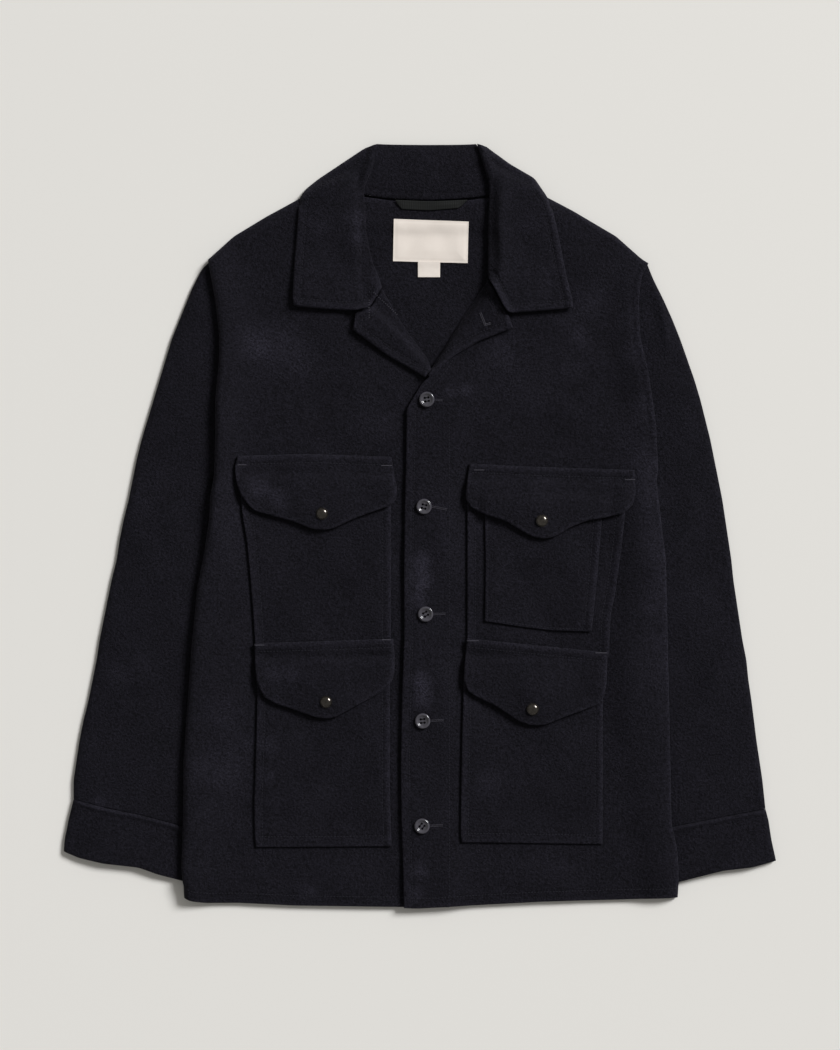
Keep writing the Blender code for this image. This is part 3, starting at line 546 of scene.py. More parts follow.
def distance_to(line, plan):
    """Distance of every plan place from the line, and the share of the line it is nearest to."""
    flat = plan.reshape(-1, 2)
    start, step = line[:-1], np.diff(line, axis=0)
    size = np.maximum((step ** 2).sum(axis=1), 1e-9)
    best = np.full(len(flat), 1e9)
    share = np.zeros(len(flat))
    for k in range(len(step)):
        place = ((flat - start[k]) @ step[k] / size[k]).clip(0.0, 1.0)
        gap = np.hypot(*(flat - start[k] - place[:, None] * step[k]).T)
        nearer = gap < best
        best = np.where(nearer, gap, best)
        share = np.where(nearer, (k + place) / len(step), share)
    return best.reshape(plan.shape[:-1]), share.reshape(plan.shape[:-1])


def quarter_round(distance, radius):
    """Height share of a rounded edge: 0 at the edge, 1 from the radius on."""
    return np.sqrt(1.0 - (1.0 - (distance / radius).clip(0.0, 1.0)) ** 2)


def fold_lift(plan, folds):
    """Sum of soft ridges and troughs: height * exp(-(d / half width)^2), faded at both ends."""
    lift = np.zeros(plan.shape[:-1])
    for x0, y0, x1, y1, bow, half, height in folds:
        share = np.linspace(0.0, 1.0, 13)
        run = np.array((x1 - x0, y1 - y0))
        side = np.array((-run[1], run[0])) / np.hypot(*run)
        line = np.array((x0, y0)) + share[:, None] * run
        line = line + (bow * np.sin(math.pi * share))[:, None] * side
        gap, place = distance_to(line, plan)
        lift += height * np.exp(-((gap / half) ** 2)) * np.sin(math.pi * place) ** 0.6
    return lift


def swell_lift(plan):
    """Slow swells of the cloth, a sum of sines in x and y."""
    x, y = plan[..., 0] * MM, plan[..., 1] * MM
    turn = 2.0 * math.pi
    lift = np.zeros(plan.shape[:-1])
    for in_x, in_y, start, height in SWELLS:
        lift += height * np.sin(turn * (in_x * x + in_y * y) + start)
    return lift


def press(name, plan, height):
    """Writes a piece's top into its relief map, at the largest height in each cell."""
    relief = reliefs.setdefault(name, np.zeros(MAP_CELLS[::-1], np.float32))
    points = np.concatenate([plan, height[..., None]], axis=-1)
    for axis in (0, 1):
        points = np.moveaxis(points, axis, 0)
        finer = np.empty((2 * len(points) - 1,) + points.shape[1:])
        finer[0::2] = points
        finer[1::2] = (points[:-1] + points[1:]) / 2.0
        points = np.moveaxis(finer, 0, axis)
    cells = np.rint((points[..., :2] - MAP_CORNER) / CELL).astype(int).reshape(-1, 2)
    cells = cells.clip(0, np.array(MAP_CELLS) - 1)
    np.maximum.at(relief, (cells[:, 1], cells[:, 0]), points[..., 2].ravel().astype(np.float32))


def softened(relief, reach, passes):
    """Largest height within reach cells, blurred after that, so that it stays above the relief."""
    for axis in (0, 1):
        widest = relief.copy()
        for shift in range(1, reach + 1):
            widest = np.maximum(widest, np.roll(relief, shift, axis))
            widest = np.maximum(widest, np.roll(relief, -shift, axis))
        relief = widest
    for _ in range(passes):
        for axis in (0, 1):
            sides = np.roll(relief, 1, axis) + np.roll(relief, -1, axis)
            relief = (2.0 * relief + sides) / 4.0
    return relief


def sampled(relief, plan):
    """Height of the relief map at every plan place, between its cells too."""
    place = (plan - MAP_CORNER) / CELL
    low = np.floor(place).astype(int).clip(0, np.array(MAP_CELLS) - 2)
    part = (place - low).clip(0.0, 1.0)
    x, y = low[..., 0], low[..., 1]
    a, b = part[..., 0], part[..., 1]
    near = relief[y, x] * (1 - a) + relief[y, x + 1] * a
    far = relief[y + 1, x] * (1 - a) + relief[y + 1, x + 1] * a
    return near * (1 - b) + far * b


def merged(names):
    """Highest of the named relief maps."""
    missing = [name for name in names if name not in reliefs]
    if missing:
        raise RuntimeError("make these first: " + ", ".join(missing))
    return np.maximum.reduce([reliefs[name] for name in names])


def resting(plan, names, reach=2, passes=6):
    """Height at which cloth rests on the named pieces, bridging their edges softly."""
    return sampled(softened(merged(names), reach, passes), plan) + REST_GAP


def rolled_down(name, edges, plan, height):
    """The height with the piece's rolled edges turned down onto what lies below them."""
    for edge, first, last, radius, stop in ROLLS.get(name, ()):
        line = at_share(edges[edge], np.linspace(first, last, 60))
        gap, _ = distance_to(line, plan)
        low = sampled(softened(merged(ROLLS_ONTO[name]), 1, 2), plan) + REST_GAP
        low = np.minimum(low + stop, height)
        height = low + (height - low) * quarter_round(gap, radius)
    return height


def grid_faces(rows, columns, first=0, turned=False):
    """Quads of a grid of vertices, row by row."""
    index = first + np.arange(rows * columns).reshape(rows, columns)
    corners = [index[:-1, :-1], index[1:, :-1], index[1:, 1:], index[:-1, 1:]]
    if turned:
        corners = corners[::-1]
    return np.stack(corners, axis=-1).reshape(-1, 4)


def coarse_faces(rows, columns, every):
    """Faces over the same grid, many times larger, which keep all of its border vertices."""
    index = np.arange(rows * columns).reshape(rows, columns)
    down = list(range(0, rows - 1, every)) + [rows - 1]
    over = list(range(0, columns - 1, every)) + [columns - 1]
    faces = []
    for a, b in zip(down[:-1], down[1:]):
        for c, d in zip(over[:-1], over[1:]):
            top = index[a, c:d + 1] if a == 0 else index[a, [c, d]]
            right = index[a:b + 1, d] if d == columns - 1 else index[[a, b], d]
            bottom = index[b, c:d + 1] if b == rows - 1 else index[b, [c, d]]
            left = index[a:b + 1, c] if c == 0 else index[[a, b], c]
            ring = np.concatenate([top[:-1], right[:-1], bottom[::-1][:-1], left[::-1][:-1]])
            faces.append(ring)
    return faces


def new_mesh(name, places, faces, worn=None):
    """Mesh object from places in mm and a list of faces or face grids; worn is how much lighter the
    wool is at each place: rubbed nap on cut edges and painted highlight on raised ridges."""
    mesh = bpy.data.meshes.new(name + LAID)
    sizes, loops = [], []
    for group in faces:
        if isinstance(group, np.ndarray) and group.ndim == 2:
            sizes.append(np.full(len(group), group.shape[1]))
            loops.append(group.ravel())
        else:
            sizes.append(np.array([len(face) for face in group]))
            loops.append(np.concatenate(group))
    sizes, loops = np.concatenate(sizes), np.concatenate(loops)
    used, loops = np.unique(loops, return_inverse=True)
    mesh.vertices.add(len(used))
    mesh.vertices.foreach_set("co", (places[used] * MM).ravel())
    mesh.loops.add(len(loops))
    mesh.loops.foreach_set("vertex_index", loops.ravel().astype(np.int32))
    mesh.polygons.add(len(sizes))
    starts = np.concatenate([[0], np.cumsum(sizes)[:-1]]).astype(np.int32)
    mesh.polygons.foreach_set("loop_start", starts)
    mesh.update(calc_edges=True)
    mesh.shade_smooth()
    if worn is not None:
        wear = mesh.attributes.new("worn", "FLOAT", "POINT")
        wear.data.foreach_set("value", worn[used].astype(np.float32))
    if mesh.validate(verbose=False):
        raise RuntimeError(name + ": its mesh has faces that Blender had to mend")
    piece = bpy.data.objects.new(name + LAID, mesh)
    bpy.context.scene.collection.objects.link(piece)
    return piece


def face_outwards(piece):
    """Turns a closed piece's faces outwards if its signed volume is below zero."""
    mesh = piece.data
    mesh.calc_loop_triangles()
    count = len(mesh.loop_triangles)
    corners = np.empty(count * 3, np.int32)
    mesh.loop_triangles.foreach_get("vertices", corners)
    places = np.empty(len(mesh.vertices) * 3)
    mesh.vertices.foreach_get("co", places)
    a, b, c = places.reshape(-1, 3)[corners.reshape(-1, 3)].transpose(1, 0, 2)
    if (a * np.cross(b, c)).sum() < 0.0:
        mesh.flip_normals()
    return piece


def shell(name, plan, under, top, worn, every=4):
    """Closed thin shell from a grid: fine top, coarse underside, joined round the rim."""
    rows, columns = plan.shape[:2]
    count = rows * columns
    upper = np.concatenate([plan, top[..., None]], axis=-1).reshape(-1, 3)
    lower = np.concatenate([plan, under[..., None]], axis=-1).reshape(-1, 3)
    index = np.arange(count).reshape(rows, columns)
    rim = np.concatenate([index[0, :-1], index[:-1, -1], index[-1, :0:-1], index[:0:-1, 0]])
    after = np.roll(rim, -1)
    wall = np.stack([rim, after, after + count, rim + count], axis=-1)
    faces = [grid_faces(rows, columns), wall]
    faces.append([count + face for face in coarse_faces(rows, columns, every)])
    wear = np.concatenate([worn.ravel(), np.zeros(count)])
    return face_outwards(new_mesh(name, np.concatenate([upper, lower]), faces, wear))


def piece_lines(name):
    return {edge: smooth_line(points) for edge, points in EDGES[name].items()}


def sewn_lift(name, gaps):
    """Troughs of the sewn rows and the swell of the turned edge outside them."""
    lift = np.zeros_like(gaps["top"])
    for edge, inset, depth, swell in SEWN.get(name, ()):
        others = [gaps[key] for key in gaps if key != edge]
        inside = (np.minimum.reduce(others) / 1.5).clip(0.0, 1.0)
        trough = np.exp(-(((gaps[edge] - inset) / SEAM_HALF_WIDTH) ** 2))
        middle = (gaps[edge] - 0.45 * inset) / (0.4 * inset)
        lift += (swell * np.exp(-(middle ** 2)) - depth * trough) * inside
    return lift


def cloth_piece(name, wall, step, rise=None, bridge=(2, 6)):
    """A flat cut piece laid on its carriers, with rounded edges, sewn rows and folds; bridge is
    how far its cloth bridges what lies below, in cells, and how often that is blurred."""
    edges = piece_lines(name)
    width = max(line_length(edges["top"]), line_length(edges["bottom"]))
    length = max(line_length(edges["left"]), line_length(edges["right"]))
    plan = blended_plan(edges, line_places(width, step), line_places(length, step))
    gaps = {edge: distance_to(edges[edge], plan)[0] for edge in edges}
    nearest = np.minimum.reduce(list(gaps.values()))
    under = resting(plan, CARRIERS[name], *bridge)
    detail = sewn_lift(name, gaps) + fold_lift(plan, FOLDS.get(name, ()))
    fade = (nearest / 12.0).clip(0.0, 1.0)
    body = under + fade * np.maximum(swell_lift(plan) + 0.7, 0.0)
    if rise is not None:
        body = body + rise(gaps)
    rounded = quarter_round(nearest, 0.65 * wall)
    half = wall / 2.0 * (RIM_UPRIGHT + (1.0 - RIM_UPRIGHT) * rounded)
    low = body + wall / 2.0 - half
    high = body + wall / 2.0 + half + detail * rounded
    turned_low = rolled_down(name, edges, plan, low)
    drop = low - turned_low
    high = high - drop * 0.92
    low = turned_low
    high = np.maximum(high, low + 0.35)
    press(name, plan, high)
    cut = [gaps[key] for key in gaps if key not in FOLDED_EDGES.get(name, ())]
    rubbed = np.exp(-(((np.minimum.reduce(cut) - 1.4) / 2.0) ** 2))
    # Lightness of the nap: rubbed cut edges, plus painted highlight on the raised ridges and swells
    # of folds and sewn edges
    return shell(name, plan, low, high, rubbed + 0.5 * np.maximum(detail, 0.0))


def make_tube(name, height, crown, edge_radius, step, mouth, folds=()):
    """Flattened cloth tube, open at both ends. At the distance d from its folded edges its half
    height is (height + crown) / 2 * sqrt(1 - (1 - d / radius)^2)."""
    settings = bpy.context.scene.laid_jacket
    wall = settings.wool / MM
    edges = piece_lines(name)
    width = max(line_length(edges["top"]), line_length(edges["bottom"]))
    if name.startswith("sleeve"):
        width = 150.0
    length = max(line_length(edges["left"]), line_length(edges["right"]))
    across = line_places(width, step, (0.0, 0.25, 0.9, 1.9, 3.2, 4.8))
    down = line_places(length, step)
    plan = blended_plan(edges, across, down)
    gaps = {edge: distance_to(edges[edge], plan)[0] for edge in edges}
    side = np.minimum(gaps["left"], gaps["right"])
    ends = np.minimum(gaps["top"], gaps["bottom"])
    swell = (gaps["top"] / 30.0).clip(0.25, 1.0) if name.startswith("sleeve") else 1.0
    round_side = quarter_round(side, edge_radius)
    middle = height / 2.0
    crowned = crown * swell * (side / 35.0).clip(0.0, 1.0) ** 0.7
    end_round = quarter_round(ends + 0.2, 1.8)
    detail = fold_lift(plan, folds) + swell_lift(plan) + sewn_lift(name, gaps)
    detail = detail * (side / 10.0).clip(0.0, 1.0)
    top = middle + (middle + crowned) * round_side + detail
    top = top - (1.0 - end_round) * 0.9
    low = middle * (1.0 - round_side) + REST_GAP + (1.0 - end_round) * 0.5
    low = np.minimum(low, top)
    press(name, plan, top)
    columns = len(across)
    back_columns = np.arange(columns - 2, 0, -1)[::4]
    high_ring = np.concatenate([plan, top[..., None]], axis=-1)
    low_ring = np.concatenate([plan, low[..., None]], axis=-1)[:, back_columns]
    outer = np.concatenate([high_ring, low_ring], axis=1)
    inset = (wall + 0.8) / width
    inner_plan = blended_plan(edges, inset + across * (1.0 - 2.0 * inset), down)
    inner_side = np.minimum(*(distance_to(edges[key], inner_plan)[0] for key in ("left", "right")))
    room = quarter_round(inner_side - wall - 0.6, 8.0)
    hollow = np.maximum(0.08, (top - low) / 2.0 - wall) * room
    hollow = hollow + mouth * room * np.exp(-gaps["bottom"] / 14.0) * 0.5
    centre = (top + low) / 2.0
    inner_top = np.concatenate([inner_plan, (centre + hollow)[..., None]], axis=-1)
    inner_low = np.concatenate([inner_plan, (centre - hollow)[..., None]], axis=-1)
    inner = np.concatenate([inner_top, inner_low[:, back_columns]], axis=1)
    rows, ring = outer.shape[:2]
    index = np.arange(rows * ring).reshape(rows, ring)
    after = np.roll(index, -1, axis=1)
    wall_faces = np.stack([index[:-1], index[1:], after[1:], after[:-1]], axis=-1).reshape(-1, 4)
    kept = np.unique(np.concatenate([np.arange(0, rows, 6), [rows - 1]]))
    within, beyond = index[kept] + rows * ring, after[kept] + rows * ring
    inside = np.stack([within[:-1], beyond[:-1], beyond[1:], within[1:]], axis=-1).reshape(-1, 4)
    caps = []
    for row, order in ((0, 1), (rows - 1, -1)):
        cap = np.stack([index[row], after[row], after[row] + rows * ring, index[row] + rows * ring])
        caps.append(cap.T[:, ::order])
    places = np.concatenate([outer.reshape(-1, 3), inner.reshape(-1, 3)])
    rubbed = np.exp(-(((gaps["top"] - 1.6) / 1.6) ** 2)) * (gaps["top"] < CUFF_SEAM)
    worn = np.zeros(len(places))
    if name.startswith("cuff"):
        worn[:outer[..., 0].size].reshape(rows, ring)[:, :columns] = rubbed
    return face_outwards(new_mesh(name, places, [wall_faces, inside] + caps, worn))


# Collar at the back of the neck, round its profile from the neck seam over the fold and under:
# y, dip in the middle, right end x, left end x, height of the outer face, mm
COLLAR_PROFILE = (
    (364, 7.2, -64, 80, 6.2),
    (374, 5, -62, 81, 7.6),
    (386, 3, -58, 78, 8.6),
    (400, 2, -53, 71, 8.7),
    (411, 1.4, -50, 65, 8.2),
    (417, 1.2, -48, 62, 6.7),
    (420, 1.2, -47.5, 61, 4.2),
    (417.5, 1.2, -48, 62, 1.4),
    (409, 1, -57, 72, 0.2),
    (396, 1, -76, 96, 0.1),
    (381, 0, -101, 119, 0.1),
    (365, 0, -120, 131, 0.1),
    (346, 0, -122, 133, 0.1),
    (332, 4, -110, 121, 0.1),
)
COLLAR_WALL = 2.3
# Share of that profile, from the neck seam, that faces up
UPPER_SHARE = 0.42


def make_collar_back():
    """Stand, fold and hidden leaf as one loft: y, z follow the profile, x runs between its ends."""
    profile = np.array(COLLAR_PROFILE, float)
    steps = np.hypot(np.diff(profile[:, 0]), np.diff(profile[:, 4]))
    along = np.concatenate([[0.0], np.cumsum(steps)])
    places = line_places(along[-1], 1.6) * along[-1]
    rows = np.stack([np.interp(places, along, profile[:, k]) for k in range(5)], axis=1)
    for _ in range(4):
        rows[1:-1] = (rows[:-2] + 2.0 * rows[1:-1] + rows[2:]) / 4.0
    across = line_places(130.0, 1.8)
    y, dip, x_right, x_left, z = rows.T[..., None]
    run = np.stack([np.gradient(rows[:, 0]), np.gradient(rows[:, 4])], axis=1)
    run /= np.hypot(*run.T)[:, None]
    inwards = np.stack([run[:, 1], -run[:, 0]], axis=1)
    ends = np.minimum(places, along[-1] - places)
    rounded = quarter_round(ends, 1.6)[:, None]
    x = x_right + (x_left - x_right) * across
    bowed = y - dip * np.sin(math.pi * across) ** 0.6
    plan = np.stack([x, bowed], axis=-1)
    crease = fold_lift(plan, ((66, 402, 76, 362, 2, 2.2, -1.1), (-52, 398, -58, 368, 2, 2.4, -0.8)))
    upper = (places[:, None] < UPPER_SHARE * along[-1]).astype(float)
    seam = np.exp(-(((places[:, None] - 6.0) / SEAM_HALF_WIDTH) ** 2)) * -0.6
    lift = (crease + seam + swell_lift(plan)) * upper
    half = COLLAR_WALL / 2.0 * (1.0 - RIM_UPRIGHT) * (1.0 - rounded) * (2.0 * upper - 1.0)
    outer_z = z + lift - half
    inner_y = bowed + inwards[:, :1] * COLLAR_WALL
    inner_z = np.broadcast_to(z + inwards[:, 1:] * COLLAR_WALL + half, x.shape)
    outer = np.stack([x, bowed, outer_z], axis=-1)
    inner = np.stack([x, inner_y, inner_z], axis=-1)
    on_top = places < UPPER_SHARE * along[-1]
    press("collar_back", plan[on_top], outer_z[on_top])
    press("collar_under", plan[~on_top][8:], inner_z[~on_top][8:])
    count_rows, columns = x.shape
    index = np.arange(x.size).reshape(x.shape)
    rim = np.concatenate([index[0, :-1], index[:-1, -1], index[-1, :0:-1], index[:0:-1, 0]])
    after = np.roll(rim, -1)
    wall = np.stack([rim, after, after + x.size, rim + x.size], axis=-1)
    faces = [grid_faces(count_rows, columns), wall]
    faces.append(grid_faces(count_rows, columns, x.size, turned=True))
    places = np.concatenate([outer.reshape(-1, 3), inner.reshape(-1, 3)])
    return face_outwards(new_mesh("collar_back", places, faces))


# Round parts: share of the radius, height in mm, from the centre of the face outwards and under
BUTTON_PROFILE = (
    (0.0, 1.55), (0.3, 1.6), (0.52, 1.8), (0.62, 2.25), (0.68, 2.9), (0.74, 3.25), (0.81, 3.4),
    (0.89, 3.25), (0.95, 2.85), (0.99, 2.25), (1.0, 1.7), (0.97, 1.1), (0.9, 0.5), (0.8, 0.15),
    (0.7, 0.0), (0.0, 0.0),
)
BUTTON_RADIUS = 8.5
BUTTON_HOLE = 1.3
BUTTON_HOLE_PITCH = 3.9
BUTTONS = ((7.4, 137.4), (4.4, 20.2), (6.1, -97.5), (2.9, -214.4), (2.2, -329.3))
BUTTON_TURNS = (8, -14, 30, 5, 51)
SNAP_PROFILE = (
    (0.0, 3.3), (0.2, 3.27), (0.4, 3.12), (0.58, 2.8), (0.72, 2.35), (0.84, 1.7), (0.91, 1.1),
    (0.94, 0.75), (0.985, 0.62), (1.0, 0.4), (0.98, 0.12), (0.9, 0.0), (0.0, 0.0),
)
SNAP_RADIUS = 6.6
SNAPS = {
    "snap_chest_right": ("flap_chest_right", -106.9, 12.5),
    "snap_chest_left": ("flap_chest_left", 133.1, 4.8),
    "snap_lower_right": ("flap_lower_right", -102.6, -193.2),
    "snap_lower_left": ("flap_lower_left", 123.1, -200.9),
}


def turned_part(name, profile, radius, x, y, z, steps=48):
    """Turned part: the profile's radius and height swept round the Z axis at x, y, z in mm."""
    profile = np.array(profile, float)
    angle = np.linspace(0.0, 2.0 * math.pi, steps, endpoint=False)
    ring = profile[1:-1]
    reach = ring[:, :1] * radius
    rings = np.stack(
        [x + reach * np.cos(angle), y + reach * np.sin(angle), z + ring[:, 1:] + 0 * angle],
        axis=-1,
    )
    ends = np.array([(x, y, z + profile[0, 1]), (x, y, z + profile[-1, 1])])
    index = np.arange(rings[..., 0].size).reshape(len(ring), steps)
    after = np.roll(index, -1, axis=1)
    sides = np.stack([index[:-1], index[1:], after[1:], after[:-1]], axis=-1).reshape(-1, 4)
    first = np.full(steps, index.size)
    top = np.stack([first, index[0], after[0]], axis=-1)
    bottom = np.stack([first + 1, after[-1], index[-1]], axis=-1)
    places = np.concatenate([rings.reshape(-1, 3), ends])
    return face_outwards(new_mesh(name, places, [sides, top, bottom]))


def drilled(piece, x, y, z, turn):
    """Cuts the four thread holes through a button."""
    cutters = []
    for k in range(4):
        angle = math.radians(turn + 45.0 + 90.0 * k)
        away = BUTTON_HOLE_PITCH / math.sqrt(2.0)
        place = (x + away * math.cos(angle), y + away * math.sin(angle))
        profile = ((0.0, 5.0), (1.0, 5.0), (1.0, -1.0), (0.0, -1.0))
        cutters.append(turned_part("hole", profile, BUTTON_HOLE, *place, z, steps=16))
    with bpy.context.temp_override(
        active_object=cutters[0], selected_editable_objects=cutters, object=cutters[0]
    ):
        bpy.ops.object.join()
    cut = piece.modifiers.new("Holes", "BOOLEAN")
    cut.operation = "DIFFERENCE"
    cut.solver = "EXACT"
    cut.object = cutters[0]
    apply_modifiers(piece)
    bpy.data.objects.remove(cutters[0])
    piece.data.set_sharp_from_angle(angle=math.radians(40.0))
    return piece


def apply_modifiers(piece):
    """Replaces the mesh by its shape after the modifiers."""
    graph = bpy.context.evaluated_depsgraph_get()
    mesh = bpy.data.meshes.new_from_object(piece.evaluated_get(graph))
    piece.modifiers.clear()
    piece.data = mesh


def thread_mesh(name, starts, ends, radius, names, rise=0.3):
    """Separate short stitches. Each is a lens of 10 corners: a tip at either end and two rings of
    four at 0.2 and 0.8 of its length; its middle stands clear of the cloth below."""
    starts, ends = np.array(starts, float), np.array(ends, float)
    run = ends - starts
    side = np.stack([-run[:, 1], run[:, 0]], axis=1) / np.hypot(*run.T)[:, None]
    relief = merged(names)
    heights = [sampled(relief, starts + share * run) + rise for share in (0.0, 0.5, 1.0)]
    base = np.maximum(heights[1], (heights[0] + heights[2]) / 2.0)
    rings = []
    tips = [np.column_stack([starts, heights[0] - rise]), np.column_stack([ends, heights[2] - rise])]
    for share, end in ((0.2, heights[0]), (0.8, heights[2])):
        centre = starts + share * run
        level = 0.5 * base + 0.5 * end
        for across, up in ((1.0, 0.0), (0.0, 1.0), (-1.0, 0.0), (0.0, -1.0)):
            ring = np.column_stack([centre + across * radius * side, level + up * radius])
            rings.append(ring)
    corners = np.stack([tips[0]] + rings + [tips[1]], axis=1)
    pattern_quads = np.array([[1 + k, 1 + (k + 1) % 4, 5 + (k + 1) % 4, 5 + k] for k in range(4)])
    near = np.array([[0, 1 + (k + 1) % 4, 1 + k] for k in range(4)])
    far = np.array([[9, 5 + k, 5 + (k + 1) % 4] for k in range(4)])
    first = (np.arange(len(starts)) * 10)[:, None, None]
    faces = [(pattern_quads + first).reshape(-1, 4)]
    faces += [(tri + first).reshape(-1, 3) for tri in (near, far)]
    return face_outwards(new_mesh(name, corners.reshape(-1, 3), faces))


def offset_line(line, inset):
    """Line moved sideways by inset mm, to the left of its run if inset is above 0."""
    run = np.gradient(line, axis=0)
    run /= np.hypot(*run.T)[:, None]
    return line + inset * np.stack([-run[:, 1], run[:, 0]], axis=1)


def row_of_stitches(line, pitch, length):
    """Start and end of each stitch in a row along the line."""
    total = line_length(line)
    count = max(1, int(total / pitch))
    first = (np.arange(count) + 0.5 * (1.0 - length / pitch)) / count
    return at_share(line, first), at_share(line, first + length / pitch / count)


# Side of each edge that the piece lies on: 1 is left of the edge's run
INSIDE = {"top": -1.0, "bottom": 1.0, "left": 1.0, "right": -1.0}


def sewn_rows(name):
    """The piece's rows of stitches, cut short where they meet another edge of the piece."""
    edges = piece_lines(name)
    mirror = -1.0 if edges["left"][:, 0].mean() > edges["right"][:, 0].mean() else 1.0
    for edge, inset, _, _ in SEWN.get(name, ()):
        line = offset_line(edges[edge], INSIDE[edge] * mirror * inset)
        gap = np.minimum.reduce([distance_to(edges[key], line)[0] for key in edges if key != edge])
        kept = line[gap > 1.5]
        if len(kept) > 3:
            yield kept


# Short dense bar tacks: x, y at both ends, mm
BAR_TACKS = (
    (-199.1, 65.7, -190.3, 65.7), (-42.1, 65.1, -31.2, 65.1),
    (59.4, 60.2, 70.1, 60.2), (224.4, 49.6, 235, 49.6),
    (-180.7, -131.3, -170.7, -131.3), (-41.3, -125.5, -32.1, -125.5),
    (51.7, -126.6, 63.8, -126.6), (192, -139.8, 204.3, -139.8),
)
# Loose pick stitches beside the right lapel's notch: x, y at both ends, mm
LOOSE_TACKS = ((-55.6, 246, -55.6, 227), (-50.6, 254.5, -25.3, 231.4))
# Buttonholes to the wearer's left of each button: start x, y, end x, y
BUTTONHOLES = (
    (15.4, 136.8, 24.2, 136.8), (12.3, 20.2, 29.2, 17), (14.5, -97.5, 27.5, -97.2),
    (12.0, -214.4, 25.3, -213.6), (11.3, -329.3, 24.6, -328.8),
)
# Buttonhole of the left lapel, with the turned end that shows: start x, y, end x, y
LAPEL_HOLE = ((66, 231.9, 71.5, 218.4), (71.5, 219, 77, 220.6))


def dense_tack(x0, y0, x1, y1, reach, pitch):
    """Stitches side by side across a short line."""
    run = np.array((x1 - x0, y1 - y0), float)
    size = float(np.hypot(*run))
    side = np.array((-run[1], run[0])) / size
    share = np.linspace(0.0, 1.0, max(3, int(size / pitch)))
    centre = np.array((x0, y0)) + share[:, None] * run
    return centre - reach * side, centre + reach * side


def whipped(x0, y0, x1, y1, apart=0.75):
    """Stitches along both lips of a buttonhole."""
    run = np.array((x1 - x0, y1 - y0), float)
    side = apart * np.array((-run[1], run[0])) / np.hypot(*run)
    lips = [
        dense_tack(x0 + way * side[0], y0 + way * side[1], x1 + way * side[0], y1 + way * side[1],
                   0.5, 0.7)
        for way in (-1.0, 1.0)
    ]
    starts, ends = zip(*lips)
    return np.concatenate(starts), np.concatenate(ends)


def linear(code):
    """Colour of an sRGB code such as "1a191e" as linear values with alpha."""
    shares = [int(code[k:k + 2], 16) / 255.0 for k in (0, 2, 4)]
    return [s / 12.92 if s <= 0.04045 else ((s + 0.055) / 1.055) ** 2.4 for s in shares] + [1.0]


def add_node(tree, kind, inputs=None, **options):
    """One shader node with its options set and its inputs set or linked."""
    node = tree.nodes.new(kind)
    for key, value in options.items():
        setattr(node, key, value)
    for key, value in (inputs or {}).items():
        if isinstance(value, bpy.types.NodeSocket):
            tree.links.new(value, node.inputs[key])
        else:
            node.inputs[key].default_value = value
    return node


def new_material(name):
    material = bpy.data.materials.new(name)
    material.use_nodes = True
    tree = material.node_tree
    tree.nodes.clear()
    surface = add_node(tree, "ShaderNodeBsdfPrincipled")
    output = add_node(tree, "ShaderNodeOutputMaterial")
    tree.links.new(surface.outputs["BSDF"], output.inputs["Surface"])
    return material, tree, surface


# Painted highlights: places where the wool's colour is lightened to stand in for light caught by
# rises and lit edges of the cloth: x, y, radius in mm, strength
PAINTED_HIGHLIGHTS = (
    (-181, 198, 18, 0.8), (-150, 186, 34, 0.45), (92, 192, 22, 0.4), (-110, 330, 14, 0.6),
    (-71, 336, 11, 0.9), (-70, 314, 10, 0.8), (-46, 272, 10, 0.5), (143, 270, 18, 0.3),
    (187, 248, 22, 0.5), (50, 149, 8, 1.0), (33, 147, 8, 0.6), (176, 206, 12, 0.5),
    (-176, 40, 14, 1.1), (-154, 30, 15, 1.0), (-122, 24, 12, 0.3), (-158, -160, 13, 1.2),
    (-138, -164, 13, 1.2), (-116, -168, 12, 0.6), (192, 19, 10, 1.0), (208, 24, 8, 0.8),
    (176, -106, 8, 0.9), (0, -40, 13, 1.6), (0, -60, 14, 1.7), (-2, -82, 11, 1.1),
    (2, -172, 13, 1.5), (2, -190, 13, 1.5), (0, -379, 12, 1.0), (-126, -404, 14, 0.6),
    (77, -285, 18, 0.6), (60, -190, 14, 0.3), (-225, -262, 28, 0.5), (-185, -240, 10, 0.4),
    (-222, -205, 18, 0.3), (-224, -318, 18, 0.35), (-166, -240, 12, 0.6), (-168, -275, 12, 0.6),
    (-160, -302, 12, 0.4), (95, -322, 12, 0.3), (168, 172, 16, 0.3), (165, 130, 16, 0.25),
    (-4, -404, 10, 0.9), (250, 262, 9, 0.5), (248, 228, 9, 0.4),
    (250, 70, 18, 0.4), (251, 48, 18, 0.4), (252, 26, 18, 0.45), (254, 4, 18, 0.5),
    (256, -18, 18, 0.5), (257, -40, 18, 0.5), (258, -62, 18, 0.5), (258, -84, 18, 0.45),
    (260, -108, 20, 0.35), (261, -134, 20, 0.3), (262, -160, 20, 0.25), (238, 130, 16, 0.5),
    (232, 190, 16, 0.5), (308, -77, 22, 0.35), (-330, -165, 16, 0.5), (-352, -304, 9, 0.7),
    (-335, -309, 9, 0.4), (140, -170, 18, 0.3), (120, 330, 14, 0.3), (-300, 30, 20, 0.25),
)


